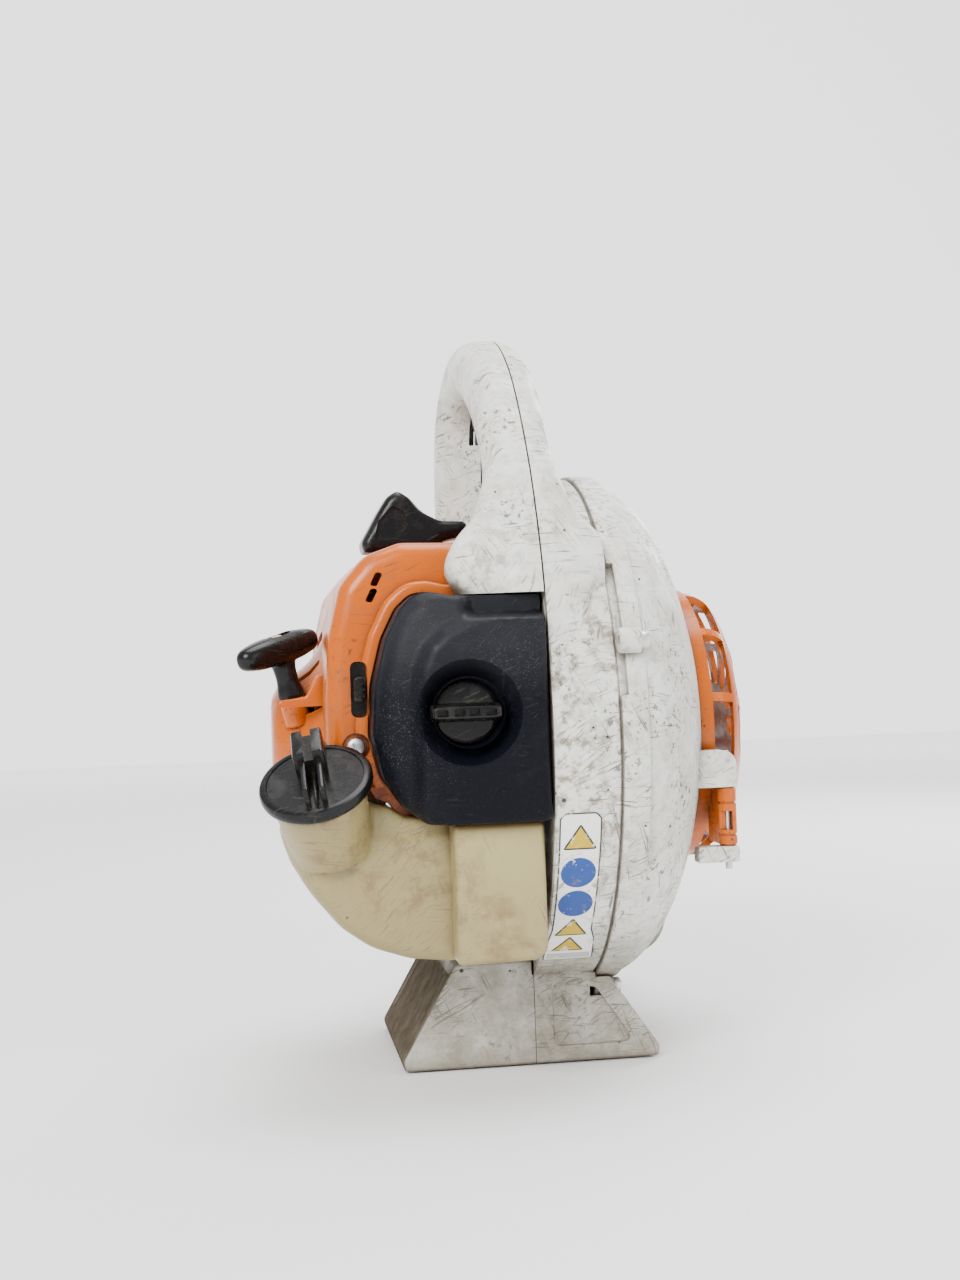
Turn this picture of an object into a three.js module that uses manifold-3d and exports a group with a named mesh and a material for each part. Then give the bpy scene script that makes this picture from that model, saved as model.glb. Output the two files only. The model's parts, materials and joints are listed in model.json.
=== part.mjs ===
// Power unit of a hand-held petrol blower, without its tube: a two-stroke engine beside a
// radial fan, in a moulded housing with a loop handle on top and a flared stand below.
// +X points from the engine to the air inlet, +Y to the air outlet, +Z up. Millimetres.
// The origin lies on the ground under the crankshaft, in the housing's parting plane.
import * as THREE from "three";
import { mergeVertices } from "three/addons/utils/BufferGeometryUtils.js";
import Module from "manifold-3d";

const wasm = await Module();
wasm.setup();

// ---- driving dimensions ----
const GAP = 0.3;            // clearance between touching pieces
const HALF = GAP / 2;
const WALL = 3;             // moulded wall thickness
const AXIS_Z = 163;         // height of the crankshaft and fan axis
const RIM_R = 129;          // radius of the round fan housing
const SEAM_X = 31;          // seam between the housing's two halves
const FACE_X = 89.5;        // outer face of the housing, round the air inlet
const INLET_R = 60;         // radius of the air inlet
const GUARD_R = 70;         // radius of the domed intake guard
const GUARD_TOP_X = 115;    // top of the intake guard's dome
const HINGE_X = 93;         // intake guard's hinge pin
const HINGE_Y = -78;
const FAN_R = 104;          // fan wheel
const FAN_BACK_X = 8;
const FAN_FRONT_X = 58;
const DUCT_X = 45;          // air outlet
const DUCT_Z = 80;
const DUCT_R = 36;
const DUCT_END_Y = 148;
const ROUND = 24;           // sides of the largest round pieces
const CYL_X = -50;          // cylinder axis
const BORE_R = 17;
const STROKE = 28;
const ROD_LENGTH = 42;
const HEAD_Z = 240;         // top of the cylinder head
const WEB_R = 21;           // crank webs
const WEB_GAP = 5.2;        // half the space between the crank webs
const SHAFT_R = 6;
const SHROUD_LEFT_X = -99;
const SHROUD_TOP_Z = 256;
const SHROUD_Y = 85;        // half depth of the shroud
const SHROUD_BOTTOM_Z = 142;
const COVER_BACK_Y = -128;  // outer face of the filter cover
const COVER_RIM_Y = -90.3;
const KNOB_X = -38.5;
const KNOB_Z = 176;
const TANK_TOP_Z = 125.4;
const STAND_TOP_Z = 51;
const STAND_FRONT_Y = 60;
const STAND_REAR_Y = -50;
const CAP_R = 26;
const CAP_CENTRE = new THREE.Vector3(-105.5, -107, 144.5);
const CAP_LEAN_REAR = 32;   // degrees
const CAP_LEAN_LEFT = 14;
const ROPE_FOOT = new THREE.Vector3(-113, -30, 184);
const ROPE_AXIS = new THREE.Vector3(-0.22, -0.12, 0.97).normalize();

// ---- materials ----
const finish = (color, roughness, metalness = 0) =>
  new THREE.MeshStandardMaterial({ color, roughness, metalness });
const whitePlastic = () => finish(0xe6e4de, 0.5);
const orangePlastic = () => finish(0xe0661a, 0.4);
const blackPlastic = () => finish(0x1b1c1e, 0.6);
const creamPlastic = () => finish(0xddd3b0, 0.45);
const castAluminium = () => finish(0xa9abad, 0.55, 0.9);
const steel = () => finish(0x9a9c9f, 0.35, 1);
const rubber = () => finish(0x18191a, 0.85);
const foam = () => finish(0x2c2d2b, 0.95);
const rope = () => finish(0xcfc49a, 0.9);

// ---- shape helpers ----
const vec = (x, y, z) => new THREE.Vector3(x, y, z);
const radians = THREE.MathUtils.degToRad;

function signedVolume(position, index) {
  const a = vec();
  const b = vec();
  const c = vec();
  let total = 0;
  for (let i = 0; i < index.length; i += 3) {
    a.fromBufferAttribute(position, index[i]);
    b.fromBufferAttribute(position, index[i + 1]);
    c.fromBufferAttribute(position, index[i + 2]);
    total += a.dot(b.cross(c));
  }
  return total;
}

// Merges vertices closer than a micrometre and drops the triangles that this closes up.
function tidied(geometry) {
  const merged = mergeVertices(geometry, 1e-3);
  const all = merged.index.array;
  const index = [];
  for (let i = 0; i < all.length; i += 3) {
    const [a, b, c] = [all[i], all[i + 1], all[i + 2]];
    if (a !== b && b !== c && c !== a) index.push(a, b, c);
  }
  return [merged, index];
}

// Turns a closed three.js geometry into a solid that faces outwards.
function solid(geometry) {
  const bare = geometry.clone();
  bare.deleteAttribute("normal");
  bare.deleteAttribute("uv");
  const [merged, index] = tidied(bare);
  if (signedVolume(merged.attributes.position, index) < 0) index.reverse();
  return new wasm.Manifold(new wasm.Mesh({
    numProp: 3,
    vertProperties: new Float32Array(merged.attributes.position.array),
    triVerts: new Uint32Array(index),
  }));
}

function geometryOf(body) {
  const mesh = body.getMesh();
  const geometry = new THREE.BufferGeometry();
  geometry.setAttribute("position", new THREE.Float32BufferAttribute(mesh.vertProperties, 3));
  geometry.setIndex([...mesh.triVerts]);
  const [merged, index] = tidied(geometry);
  merged.setIndex(index);
  merged.computeVertexNormals();
  return merged;
}

const join = (...bodies) => bodies.reduce((sum, body) => sum.add(body));
const cut = (body, ...tools) => tools.reduce((rest, tool) => rest.subtract(tool), body);

function shapeOf(outline) {
  return new THREE.Shape(outline.map(([a, b]) => new THREE.Vector2(a, b)));
}

const PRISM_FRAMES = {
  X: new THREE.Matrix4().makeBasis(vec(0, 1, 0), vec(0, 0, 1), vec(1, 0, 0)),
  Y: new THREE.Matrix4().makeBasis(vec(1, 0, 0), vec(0, 0, 1), vec(0, -1, 0)),
  Z: new THREE.Matrix4(),
};

// An outline extruded along one axis between two places. The outline holds the other two
// coordinates in X, Y, Z order. edge rounds both ends over that distance.
function prism(axis, outline, from, to, edge = 0, steps = 2) {
  const geometry = new THREE.ExtrudeGeometry(shapeOf(outline), {
    depth: to - from - 2 * edge,
    bevelEnabled: edge > 0,
    bevelThickness: edge,
    bevelSize: edge,
    bevelOffset: -edge,
    bevelSegments: steps,
    curveSegments: 8,
  });
  geometry.translate(0, 0, edge);
  geometry.applyMatrix4(PRISM_FRAMES[axis]);
  const start = { X: [from, 0, 0], Y: [0, to, 0], Z: [0, 0, from] }[axis];
  geometry.translate(...start);
  return solid(geometry);
}

function box(x0, x1, y0, y1, z0, z1) {
  return prism("Z", [[x0, y0], [x1, y0], [x1, y1], [x0, y1]], z0, z1);
}

const AXIS_TURNS = {
  X: (geometry) => geometry.rotateZ(-Math.PI / 2),
  Y: (geometry) => geometry,
  Z: (geometry) => geometry.rotateX(Math.PI / 2),
};

// A profile of [radius, place along the axis] turned about an axis through centre.
function lathe(axis, profile, centre = [0, 0, 0], sides = 16) {
  const points = profile.map(([r, along]) => new THREE.Vector2(r, along));
  const geometry = new THREE.LatheGeometry(points, sides);
  AXIS_TURNS[axis](geometry);
  geometry.translate(...centre);
  return solid(geometry);
}

const rod = (axis, radius, from, to, centre, sides) =>
  lathe(axis, [[0, from], [radius, from], [radius, to], [0, to]], centre, sides);

const ring = (axis, inner, outer, from, to, centre, sides) =>
  lathe(axis, [[inner, from], [outer, from], [outer, to], [inner, to], [inner, from]],
    centre, sides);

// A rod between two points.
function bar(start, end, radius, sides = 12) {
  const along = end.clone().sub(start);
  const turn = new THREE.Quaternion().setFromUnitVectors(vec(0, 1, 0), along.clone().normalize());
  const geometry = new THREE.CylinderGeometry(radius, radius, along.length(), sides);
  geometry.applyQuaternion(turn);
  const middle = start.clone().add(end).multiplyScalar(0.5);
  geometry.translate(middle.x, middle.y, middle.z);
  return solid(geometry);
}

// A round section swept along a smooth curve.
function sweep(points, radius, sides = 8, steps = 24) {
  const section = new THREE.Shape();
  for (let i = 0; i < sides; i += 1) {
    const turn = (2 * Math.PI * i) / sides;
    const place = [radius * Math.cos(turn), radius * Math.sin(turn)];
    if (i === 0) section.moveTo(...place);
    else section.lineTo(...place);
  }
  section.closePath();
  const path = new THREE.CatmullRomCurve3(points);
  return solid(new THREE.ExtrudeGeometry(section, { steps, extrudePath: path }));
}

// A closed skin through rings that all hold the same number of points.
function loft(rings) {
  const count = rings[0].length;
  const positions = [];
  const index = [];
  rings.flat().forEach((p) => positions.push(p.x, p.y, p.z));
  for (let r = 0; r + 1 < rings.length; r += 1) {
    for (let i = 0; i < count; i += 1) {
      const next = (i + 1) % count;
      const [a, b] = [r * count + i, r * count + next];
      const [c, d] = [a + count, b + count];
      index.push(a, b, c, b, d, c);
    }
  }
  [0, rings.length - 1].forEach((r) => {
    const centre = rings[r].reduce((sum, p) => sum.add(p), vec()).divideScalar(count);
    const hub = positions.length / 3;
    positions.push(centre.x, centre.y, centre.z);
    for (let i = 0; i < count; i += 1) {
      const edge = [r * count + i, r * count + ((i + 1) % count)];
      if (r === 0) edge.reverse();
      index.push(hub, ...edge);
    }
  });
  const geometry = new THREE.BufferGeometry();
  geometry.setAttribute("position", new THREE.Float32BufferAttribute(positions, 3));
  geometry.setIndex(index);
  return solid(geometry);
}

// A rounded ring: squareness 1 is an ellipse, and larger values fill the corners.
function oval(centre, along, across, halfA, halfB, squareness = 1, count = 16) {
  return Array.from({ length: count }, (_, i) => {
    const turn = (2 * Math.PI * i) / count;
    const bend = (t) => Math.sign(t) * Math.abs(t) ** (1 / squareness);
    return centre.clone()
      .addScaledVector(along, halfA * bend(Math.cos(turn)))
      .addScaledVector(across, halfB * bend(Math.sin(turn)));
  });
}

const object = new THREE.Group();

function add(name, body, material) {
  const mesh = new THREE.Mesh(geometryOf(body), material);
  mesh.name = name;
  object.add(mesh);
}

const onFanAxis = [0, 0, AXIS_Z];
const FAR = 400;            // reaches past the whole object
const leftOf = (x) => box(-FAR, x, -FAR, FAR, -FAR, FAR);
const rightOf = (x) => box(x, FAR, -FAR, FAR, -FAR, FAR);

// ---- handle: an oval section swept along a loop in the Y-Z plane ----
// Each station: y, z, half thickness, half width to the left, half width to the right.
const HANDLE_STATIONS = [
  [84, 250, 15, 26, 17],
  [83, 300, 15, 26, 17],
  [73, 336, 15, 24, 16],
  [42, 354, 16, 22, 15],
  [5, 350, 16, 22, 15],
  [-32, 330, 16, 20, 15],
  [-62, 300, 16, 19, 14],
  [-86, 266, 18, 22, 20],
  [-103, 226, 20, 30, 26],
];

function handleLoop(inset) {
  const sides = inset > 0 ? 10 : 14;
  const centres = HANDLE_STATIONS.map(([y, z]) => vec(0, y, z));
  const path = new THREE.CatmullRomCurve3(centres);
  const sizes = (column) => new THREE.CatmullRomCurve3(
    HANDLE_STATIONS.map((station) => vec(station[column], 0, 0)));
  const [thick, left, right] = [2, 3, 4].map(sizes);
  const steps = 13;
  const rings = Array.from({ length: steps + 1 }, (_, i) => {
    const t = i / steps;
    const out = path.getTangent(t).cross(vec(1, 0, 0)).normalize();
    const l = left.getPoint(t).x - inset;
    const r = right.getPoint(t).x - inset;
    const middle = path.getPoint(t).setX((r - l) / 2);
    return oval(middle, vec(1, 0, 0), out, (l + r) / 2, thick.getPoint(t).x - inset, 1.15, sides);
  });
  return loft(rings);
}

// The space inside the grip, closed off above both feet of the loop.
const HOLLOW_FROM_Z = 266;
const handleHollow = () => cut(handleLoop(WALL), box(-FAR, FAR, -FAR, FAR, 0, HOLLOW_FROM_Z));

const TRIGGER_SLOT = box(-7, 7, 16, 68, 320, 352);
const triggerPin = (radius, from, to) => rod("X", radius, from, to, [0, 57, 344], 12);
const CABLE_ROUTE = [vec(-10, 8, 351), vec(-10, -32, 331), vec(-9, -60, 302), vec(-11, -79, 278),
  vec(-15, -82, 264), vec(-20, -78, 249), vec(-34, -68, 230), vec(-44, -60, 223)];
const cable = (radius) => sweep(CABLE_ROUTE, radius, 6, 16);

// The left shell flares out over the filter cover at its rear foot.
function handleFlare() {
  const level = (z, width, rear, front) =>
    oval(vec(0, (rear + front) / 2, z), vec(1, 0, 0), vec(0, 1, 0), width, (front - rear) / 2, 1.6);
  return loft([level(229.5, 36, -113, -86), level(241, 43, -111, -86), level(256, 38, -107, -86),
    level(268, 27, -102, -76), level(290, 19, -91, -64)]);
}

function handleShellLeft() {
  const outside = join(handleLoop(0), handleFlare());
  const clearOfShroud = box(SHROUD_LEFT_X, FAR, -SHROUD_Y - GAP, FAR, 0, SHROUD_TOP_Z + GAP);
  const below = box(-FAR, FAR, -FAR, FAR, 0, 229.5);
  const hollow = handleHollow();
  const bosses = join(triggerPin(5, -20, -7.3), rod("X", 5, -17, -HALF, [0, -66, 296], 12));
  const shell = cut(join(cut(outside, hollow), bosses).intersect(outside), rightOf(-HALF));
  return cut(shell, clearOfShroud, below, TRIGGER_SLOT, triggerPin(2.3, -14.3, 0), cable(2.4));
}

// ---- stand: two hollow halves that splay out at the foot ----
const STAND_LEFT = [[-HALF, 0], [-HALF, STAND_TOP_Z], [-39, STAND_TOP_Z], [-66, 5], [-66, 0]];
const STAND_RIGHT = [[HALF, 0], [62, 0], [62, 5], [35, 46], [HALF, STAND_TOP_Z]];
const STAND_LEFT_INSIDE = [[5, WALL], [5, 48], [-37, 48], [-61.5, WALL]];
const STAND_RIGHT_INSIDE = [[-5, WALL], [56.5, WALL], [33, 41], [-5, 47]];
const SOLE_TONGUE = 9;      // half width of the tongue that joins the soles under the axis

function standHalf(outline, inside) {
  const outer = prism("Y", outline, STAND_REAR_Y, STAND_FRONT_Y);
  const inner = prism("Y", inside, STAND_REAR_Y + WALL, STAND_FRONT_Y - WALL);
  return cut(outer, inner);
}

function standLeft() {
  const tongue = SOLE_TONGUE + GAP;
  const notch = box(-tongue, 1, -tongue, tongue, -1, WALL + GAP);
  const tankSeat = rod("X", RIM_R + GAP, -FAR, FAR, onFanAxis, ROUND);
  return cut(standHalf(STAND_LEFT, STAND_LEFT_INSIDE), notch, tankSeat.intersect(rightOf(-1)));
}

// ---- fan housing ----
const boltPlaces = [161.5, 252, 55, 5].map((degrees) => {
  const reach = RIM_R + 6;
  return [0, reach * Math.cos(radians(degrees)), AXIS_Z + reach * Math.sin(radians(degrees))];
});

function duct(inset) {
  const ringAt = (y, halfX, halfZ, squareness) => oval(vec(DUCT_X, y, DUCT_Z), vec(1, 0, 0),
    vec(0, 0, 1), halfX - inset, halfZ - inset, squareness, 18);
  const end = DUCT_END_Y + (inset > 0 ? 5 : 0);
  return loft([ringAt(8, 38, 40, 1.8), ringAt(70, 37, 39, 1.5), ringAt(115, DUCT_R, DUCT_R, 1),
    ringAt(end, DUCT_R, DUCT_R, 1)]);
}

// The space swept by the fan, shared by both halves.
function chamber() {
  const profile = [[0, 3.5], [126, 3.5], [126, 42], [118, 62], [93, 81], [78, 85.5], [0, 85.5]];
  return join(lathe("X", profile, onFanAxis, ROUND), duct(WALL));
}

const ENGINE_BOLTS = [10, 170, 210, 330].map((degrees) =>
  [0, 52 * Math.cos(radians(degrees)), AXIS_Z + 52 * Math.sin(radians(degrees))]);

function housingInner() {
  const rim = rod("X", RIM_R, HALF, SEAM_X - HALF, onFanAxis, ROUND);
  const side = rightOf(HALF);
  const handle = handleLoop(0).intersect(side);
  const outsideRim = rod("X", RIM_R - 1, -FAR, FAR, onFanAxis, ROUND);
  const hollow = cut(handleHollow(), outsideRim);
  const bosses = join(triggerPin(5, 7.3, 14), rod("X", 5, HALF, 12, [0, -66, 296], 12));
  const outerHalf = rod("X", RIM_R + 3, SEAM_X, FAR, onFanAxis, ROUND);
  const standInside = prism("Y", STAND_RIGHT_INSIDE, STAND_REAR_Y + WALL, STAND_FRONT_Y - WALL);
  const stand = cut(prism("Y", STAND_RIGHT, STAND_REAR_Y, STAND_FRONT_Y),
    cut(standInside, outsideRim), outerHalf, rod("X", 8, SEAM_X - 3, FAR, boltPlaces[1], 16),
    duct(-0.5).intersect(rightOf(SEAM_X)));
  const tongue = box(-SOLE_TONGUE, 5, -SOLE_TONGUE, SOLE_TONGUE, 0, WALL);
  const handleShell = join(cut(handle, hollow), bosses.intersect(handle));
  const ductHalf = cut(duct(0), rightOf(SEAM_X - HALF)).intersect(rightOf(HALF));
  const holes = [rod("X", 13, -5, 8, onFanAxis, 24), box(-5, 5, -22, 22, 218, 248),
    ...ENGINE_BOLTS.map((place) => rod("X", 2.8, -5, 8, place, 8))];
  return cut(join(rim, handleShell, stand, tongue, ductHalf), chamber(), ...holes,
    TRIGGER_SLOT, triggerPin(2.3, 0, 11.3), cable(2.4));
}

function housingOuter() {
  const profile = [[0, SEAM_X + HALF], [RIM_R + 1.5, SEAM_X + HALF], [RIM_R + 1.5, 40],
    [121, 64], [109, 76], [95, 84], [72, FACE_X], [0, FACE_X]];
  const shell = join(lathe("X", profile, onFanAxis, ROUND), duct(0).intersect(rightOf(SEAM_X + HALF)));
  const hingeLug = (z0, z1) => join(rod("Z", 4.5, z0, z1, [HINGE_X, HINGE_Y, 0], 16),
    box(84, HINGE_X + 1, HINGE_Y - 4.5, HINGE_Y + 4.5, z0, z1));
  const boss = (place) => rod("X", 6.5, SEAM_X + HALF, 41, place, 12);
  const lip = ring("X", INLET_R - 1, INLET_R + 3, 76, 87, onFanAxis, ROUND);
  const inlet = rod("X", INLET_R, 60, FAR, onFanAxis, ROUND);
  const solidHalf = join(shell, ...boltPlaces.map(boss), hingeLug(94, 105.7), hingeLug(134, 152));
  const latch = rod("X", 2.7, 80, FAR, [0, GUARD_R + 6, AXIS_Z], 10);
  return cut(join(cut(solidHalf, chamber()), lip), inlet, latch,
    rod("Z", 2.1, 90, 170, [HINGE_X, HINGE_Y, 0], 12),
    ...boltPlaces.map((place) => rod("X", 2.4, SEAM_X - 1, 50, place, 8)));
}

function outletCollar() {
  const along = (y) => y - DUCT_END_Y;
  const centre = [DUCT_X, DUCT_END_Y, DUCT_Z];
  const profile = [[DUCT_R + 1, along(128)], [DUCT_R + 4, along(128)], [DUCT_R + 4, along(136)],
    [DUCT_R + 2.5, along(136)], [DUCT_R + 2.5, along(156)], [DUCT_R - 3, along(156)],
    [DUCT_R - 3, along(DUCT_END_Y + GAP)], [DUCT_R + 1, along(DUCT_END_Y + GAP)],
    [DUCT_R + 1, along(128)]];
  const lug = (side) => box(DUCT_X + side * 40 - 5, DUCT_X + side * 40 + 5, 142, 150, 76, 84);
  const lugs = cut(join(lug(-1), lug(1)), rod("Y", DUCT_R + 1, 100, 200, [DUCT_X, 0, DUCT_Z], 18));
  return join(lathe("Y", profile, centre, 18), lugs);
}

// ---- intake guard: a dome of ribs hinged at its rear edge ----
const GUARD_OUTSIDE = [[GUARD_R, 89.8], [GUARD_R, 94], [65, 103], [45, 112], [0, GUARD_TOP_X]];
const GUARD_INSIDE = [[0, 112], [43.5, 109.2], [62.5, 100.5], [66.8, 93], [66.8, 89.8]];
const WINDOW_PITCH = 30;
const FIRST_WINDOW = 3;
const SOLID_SECTOR = 7;       // the sector beside the hinge has no windows

function guardWindow(inner, outer, degrees) {
  const half = (radius) => WINDOW_PITCH / 2 - (2.2 / radius) * (180 / Math.PI);
  const at = (radius, turn) => [radius * Math.cos(radians(turn)),
    AXIS_Z + radius * Math.sin(radians(turn))];
  return prism("X", [at(inner, degrees - half(inner)), at(outer, degrees - half(outer)),
    at(outer, degrees + half(outer)), at(inner, degrees + half(inner))], 84, 130);
}

function intakeGuard() {
  const dome = lathe("X", [...GUARD_OUTSIDE, ...GUARD_INSIDE, GUARD_OUTSIDE[0]], onFanAxis, ROUND);
  const knuckle = join(rod("Z", 4.5, 106, 133.7, [HINGE_X, HINGE_Y, 0], 16),
    box(90, HINGE_X + 2, HINGE_Y, -55, 106, 133.7));
  const tab = box(89.8, 93, GUARD_R - 3, GUARD_R + 11, AXIS_Z - 7, AXIS_Z + 7);
  const inside = rod("X", 66, 80, 96, onFanAxis, ROUND);
  const windows = [];
  for (let i = 0; i < 12; i += 1) {
    const turn = FIRST_WINDOW + i * WINDOW_PITCH;
    if (i !== SOLID_SECTOR) windows.push(guardWindow(26, 42, turn), guardWindow(47, 63, turn));
  }
  return cut(join(dome, cut(join(knuckle, tab), inside)), ...windows,
    rod("Z", 2.1, 90, 170, [HINGE_X, HINGE_Y, 0], 12),
    rod("X", 2.3, 80, 130, [0, GUARD_R + 6, AXIS_Z], 10));
}

// A pan-head screw along X with its head towards +X.
function screwX(place, headX, length, radius = 2, headR = 4.5) {
  const [, y, z] = place;
  const head = [[0, headX - length], [radius, headX - length], [radius, headX], [headR, headX],
    [headR, headX + 3.6], [0, headX + 3.6]];
  return lathe("X", head, [0, y, z], 8);
}

add("fan_housing_inner", housingInner(), whitePlastic());
add("fan_housing_outer", housingOuter(), whitePlastic());
add("handle_shell_left", handleShellLeft(), whitePlastic());
add("stand_left", standLeft(), whitePlastic());
add("outlet_collar", outletCollar(), blackPlastic());
add("intake_guard", intakeGuard(), orangePlastic());
add("guard_hinge_pin", rod("Z", 1.7, 94.5, 151.5, [HINGE_X, HINGE_Y, 0], 12), steel());
add("guard_latch_screw", screwX([0, GUARD_R + 6, AXIS_Z], 93.3, 11, 1.7, 4), steel());
boltPlaces.forEach((place, i) =>
  add(`housing_screw_${i + 1}`, screwX(place, 41.3, 9), steel()));

// ---- fan and flywheel on the crankshaft ----
function fanWheel() {
  const hub = [[SHAFT_R + GAP, FAN_BACK_X], [FAN_R, FAN_BACK_X], [FAN_R, FAN_BACK_X + 3],
    [34, FAN_BACK_X + 3], [18, 20], [14, 34], [SHAFT_R + GAP, 34], [SHAFT_R + GAP, FAN_BACK_X]];
  const eye = ring("X", 84, FAN_R, FAN_FRONT_X - 3, FAN_FRONT_X, onFanAxis, 20);
  const blade = (degrees) => {
    const at = (radius, turn) => [radius * Math.cos(radians(turn)),
      AXIS_Z + radius * Math.sin(radians(turn))];
    return prism("X", [at(58, degrees), at(80, degrees - 9), at(FAN_R - 1, degrees - 22),
      at(FAN_R - 1, degrees - 20.6), at(80, degrees - 7.2), at(58, degrees + 2.4)],
    FAN_BACK_X + 1, FAN_FRONT_X - 1);
  };
  const blades = Array.from({ length: 10 }, (_, i) => blade(i * 36));
  return join(lathe("X", hub, onFanAxis, 20), eye, ...blades);
}

function flywheel() {
  const profile = [[SHAFT_R + GAP, -19], [44, -19], [44, -8], [38, -8], [38, -15], [13, -15],
    [12, -7], [SHAFT_R + GAP, -7], [SHAFT_R + GAP, -19]];
  const fin = (turn) => {
    const across = vec(0, Math.cos(turn), Math.sin(turn));
    const at = (radius) => vec(-12, 0, AXIS_Z).addScaledVector(across, radius);
    return bar(at(16), at(39), 2.2, 4);
  };
  const fins = Array.from({ length: 8 }, (_, i) => fin((2 * Math.PI * i) / 8));
  return join(lathe("X", profile, onFanAxis, 20), ...fins);
}

const crankHalf = (webFrom, webTo, shaftEnd) => {
  const web = rod("X", WEB_R, webFrom, webTo, onFanAxis, 16);
  const [from, to] = [Math.min(webFrom, shaftEnd), Math.max(webTo, shaftEnd)];
  return join(web, rod("X", SHAFT_R, from, to, onFanAxis, 12));
};
const fanWeb = CYL_X + WEB_GAP + GAP;
const starterWeb = CYL_X - WEB_GAP - GAP;
const nutOutline = Array.from({ length: 6 }, (_, i) =>
  [10 * Math.cos((i * Math.PI) / 3), AXIS_Z + 10 * Math.sin((i * Math.PI) / 3)]);

add("crankshaft_fan_side", crankHalf(fanWeb, fanWeb + 4.5, 44), steel());
add("crankshaft_starter_side", crankHalf(starterWeb - 4.5, starterWeb, -93), steel());
add("fan_wheel", fanWheel(), blackPlastic());
add("fan_nut", cut(prism("X", nutOutline, 34 + GAP, 41), rod("X", SHAFT_R + GAP, 30, 50, onFanAxis)),
  steel());
add("flywheel", flywheel(), castAluminium());

// ---- engine ----
const BDC_PIN_Z = AXIS_Z - STROKE / 2;
const WRIST_Z = BDC_PIN_Z + ROD_LENGTH;
const onBore = [CYL_X, 0, 0];

function crankcaseHalf(side) {
  // side +1 faces the fan, -1 faces the starter
  const x = (distance) => CYL_X + side * distance;
  const span = (near, far) => [Math.min(x(near), x(far)), Math.max(x(near), x(far))];
  const round = (radius, near, far, place = onFanAxis, sides = 16) =>
    rod("X", radius, ...span(near, far), place, sides);
  const block = box(...span(HALF, 24), -24, 24, AXIS_Z - 10, 180);
  const legs = (places, near, far) => places.map((place) => {
    const [, y, z] = place;
    const arm = bar(vec(x(near + 3), 0, AXIS_Z), vec(x(near + 3), y, z), 4, 4);
    return join(arm, rod("X", 5, ...span(near, far), place, 8));
  });
  const reach = side > 0 ? legs(ENGINE_BOLTS, 20, 49.5) : legs(STARTER_BOLTS, 20, 30.5);
  const outside = join(round(29, HALF, 26), block, ...reach);
  const bolts = (side > 0 ? ENGINE_BOLTS : STARTER_BOLTS).map((place) =>
    round(2.3, 22, 60, place, 8));
  const inside = [round(24, -1, 12), round(13.3, 11, 24), round(7, 20, 30, onFanAxis, 16),
    rod("Z", BORE_R + 2.5, AXIS_Z, 200, onBore, 16), ...bolts];
  const cylinderSeat = box(-FAR, FAR, -24.5, 24.5, 180, FAR);
  return cut(outside, ...inside, cylinderSeat);
}

const STARTER_BOLTS = [10, 170, 210, 330].map((degrees) =>
  [0, 57 * Math.cos(radians(degrees)), AXIS_Z + 57 * Math.sin(radians(degrees))]);

function cylinder() {
  const bottom = 180 + GAP;
  const barrel = rod("Z", BORE_R + 5, bottom, HEAD_Z, onBore, 12);
  const base = box(CYL_X - 24, CYL_X + 24, -24, 24, bottom, bottom + 5);
  const fins = Array.from({ length: 6 }, (_, i) => {
    const z = 194 + i * 8.4;
    return box(CYL_X - 27, CYL_X + 27, -27, 27, z, z + 2);
  });
  const inlet = box(CYL_X - 13, CYL_X + 13, -32, -15, 190, 214);
  const exhaust = box(CYL_X - 15, CYL_X + 15, 15, 32, 194, 218);
  const bore = lathe("Z", [[0, 170], [BORE_R, 170], [BORE_R, 230], [9, 233], [0, 234]], onBore, 14);
  return cut(join(barrel, base, inlet, exhaust, ...fins), bore,
    rod("Z", 5.3, 225, 245, onBore, 12), rod("Y", 7, -40, 0, [CYL_X, 0, 202], 12),
    rod("Y", 9, 0, 40, [CYL_X, 0, 206], 12));
}

function piston() {
  const crown = WRIST_Z + 10;
  const skirt = [[0, crown - 3], [BORE_R - 3, crown - 3], [BORE_R - 3, WRIST_Z - 6],
    [BORE_R - GAP, WRIST_Z - 6], [BORE_R - GAP, crown], [0, crown]];
  const pinBosses = cut(rod("X", 5.5, -14.5, 14.5, [CYL_X, 0, WRIST_Z], 12),
    rod("X", 7, -5.5, 5.5, [CYL_X, 0, WRIST_Z], 12));
  return cut(join(lathe("Z", skirt, onBore, 14), pinBosses),
    rod("X", 3.3, -30, 30, [CYL_X, 0, WRIST_Z], 12));
}

function connectingRod() {
  const place = (z) => [CYL_X, 0, z];
  const small = rod("X", 6, -4, 4, place(WRIST_Z), 16);
  const big = rod("X", 8.5, -4, 4, place(BDC_PIN_Z), 16);
  const shank = box(CYL_X - 2.5, CYL_X + 2.5, -4, 4, BDC_PIN_Z, WRIST_Z);
  return cut(join(small, big, shank), rod("X", 3.3, -9, 9, place(WRIST_Z), 12),
    rod("X", 5.3, -9, 9, place(BDC_PIN_Z), 12));
}

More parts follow.
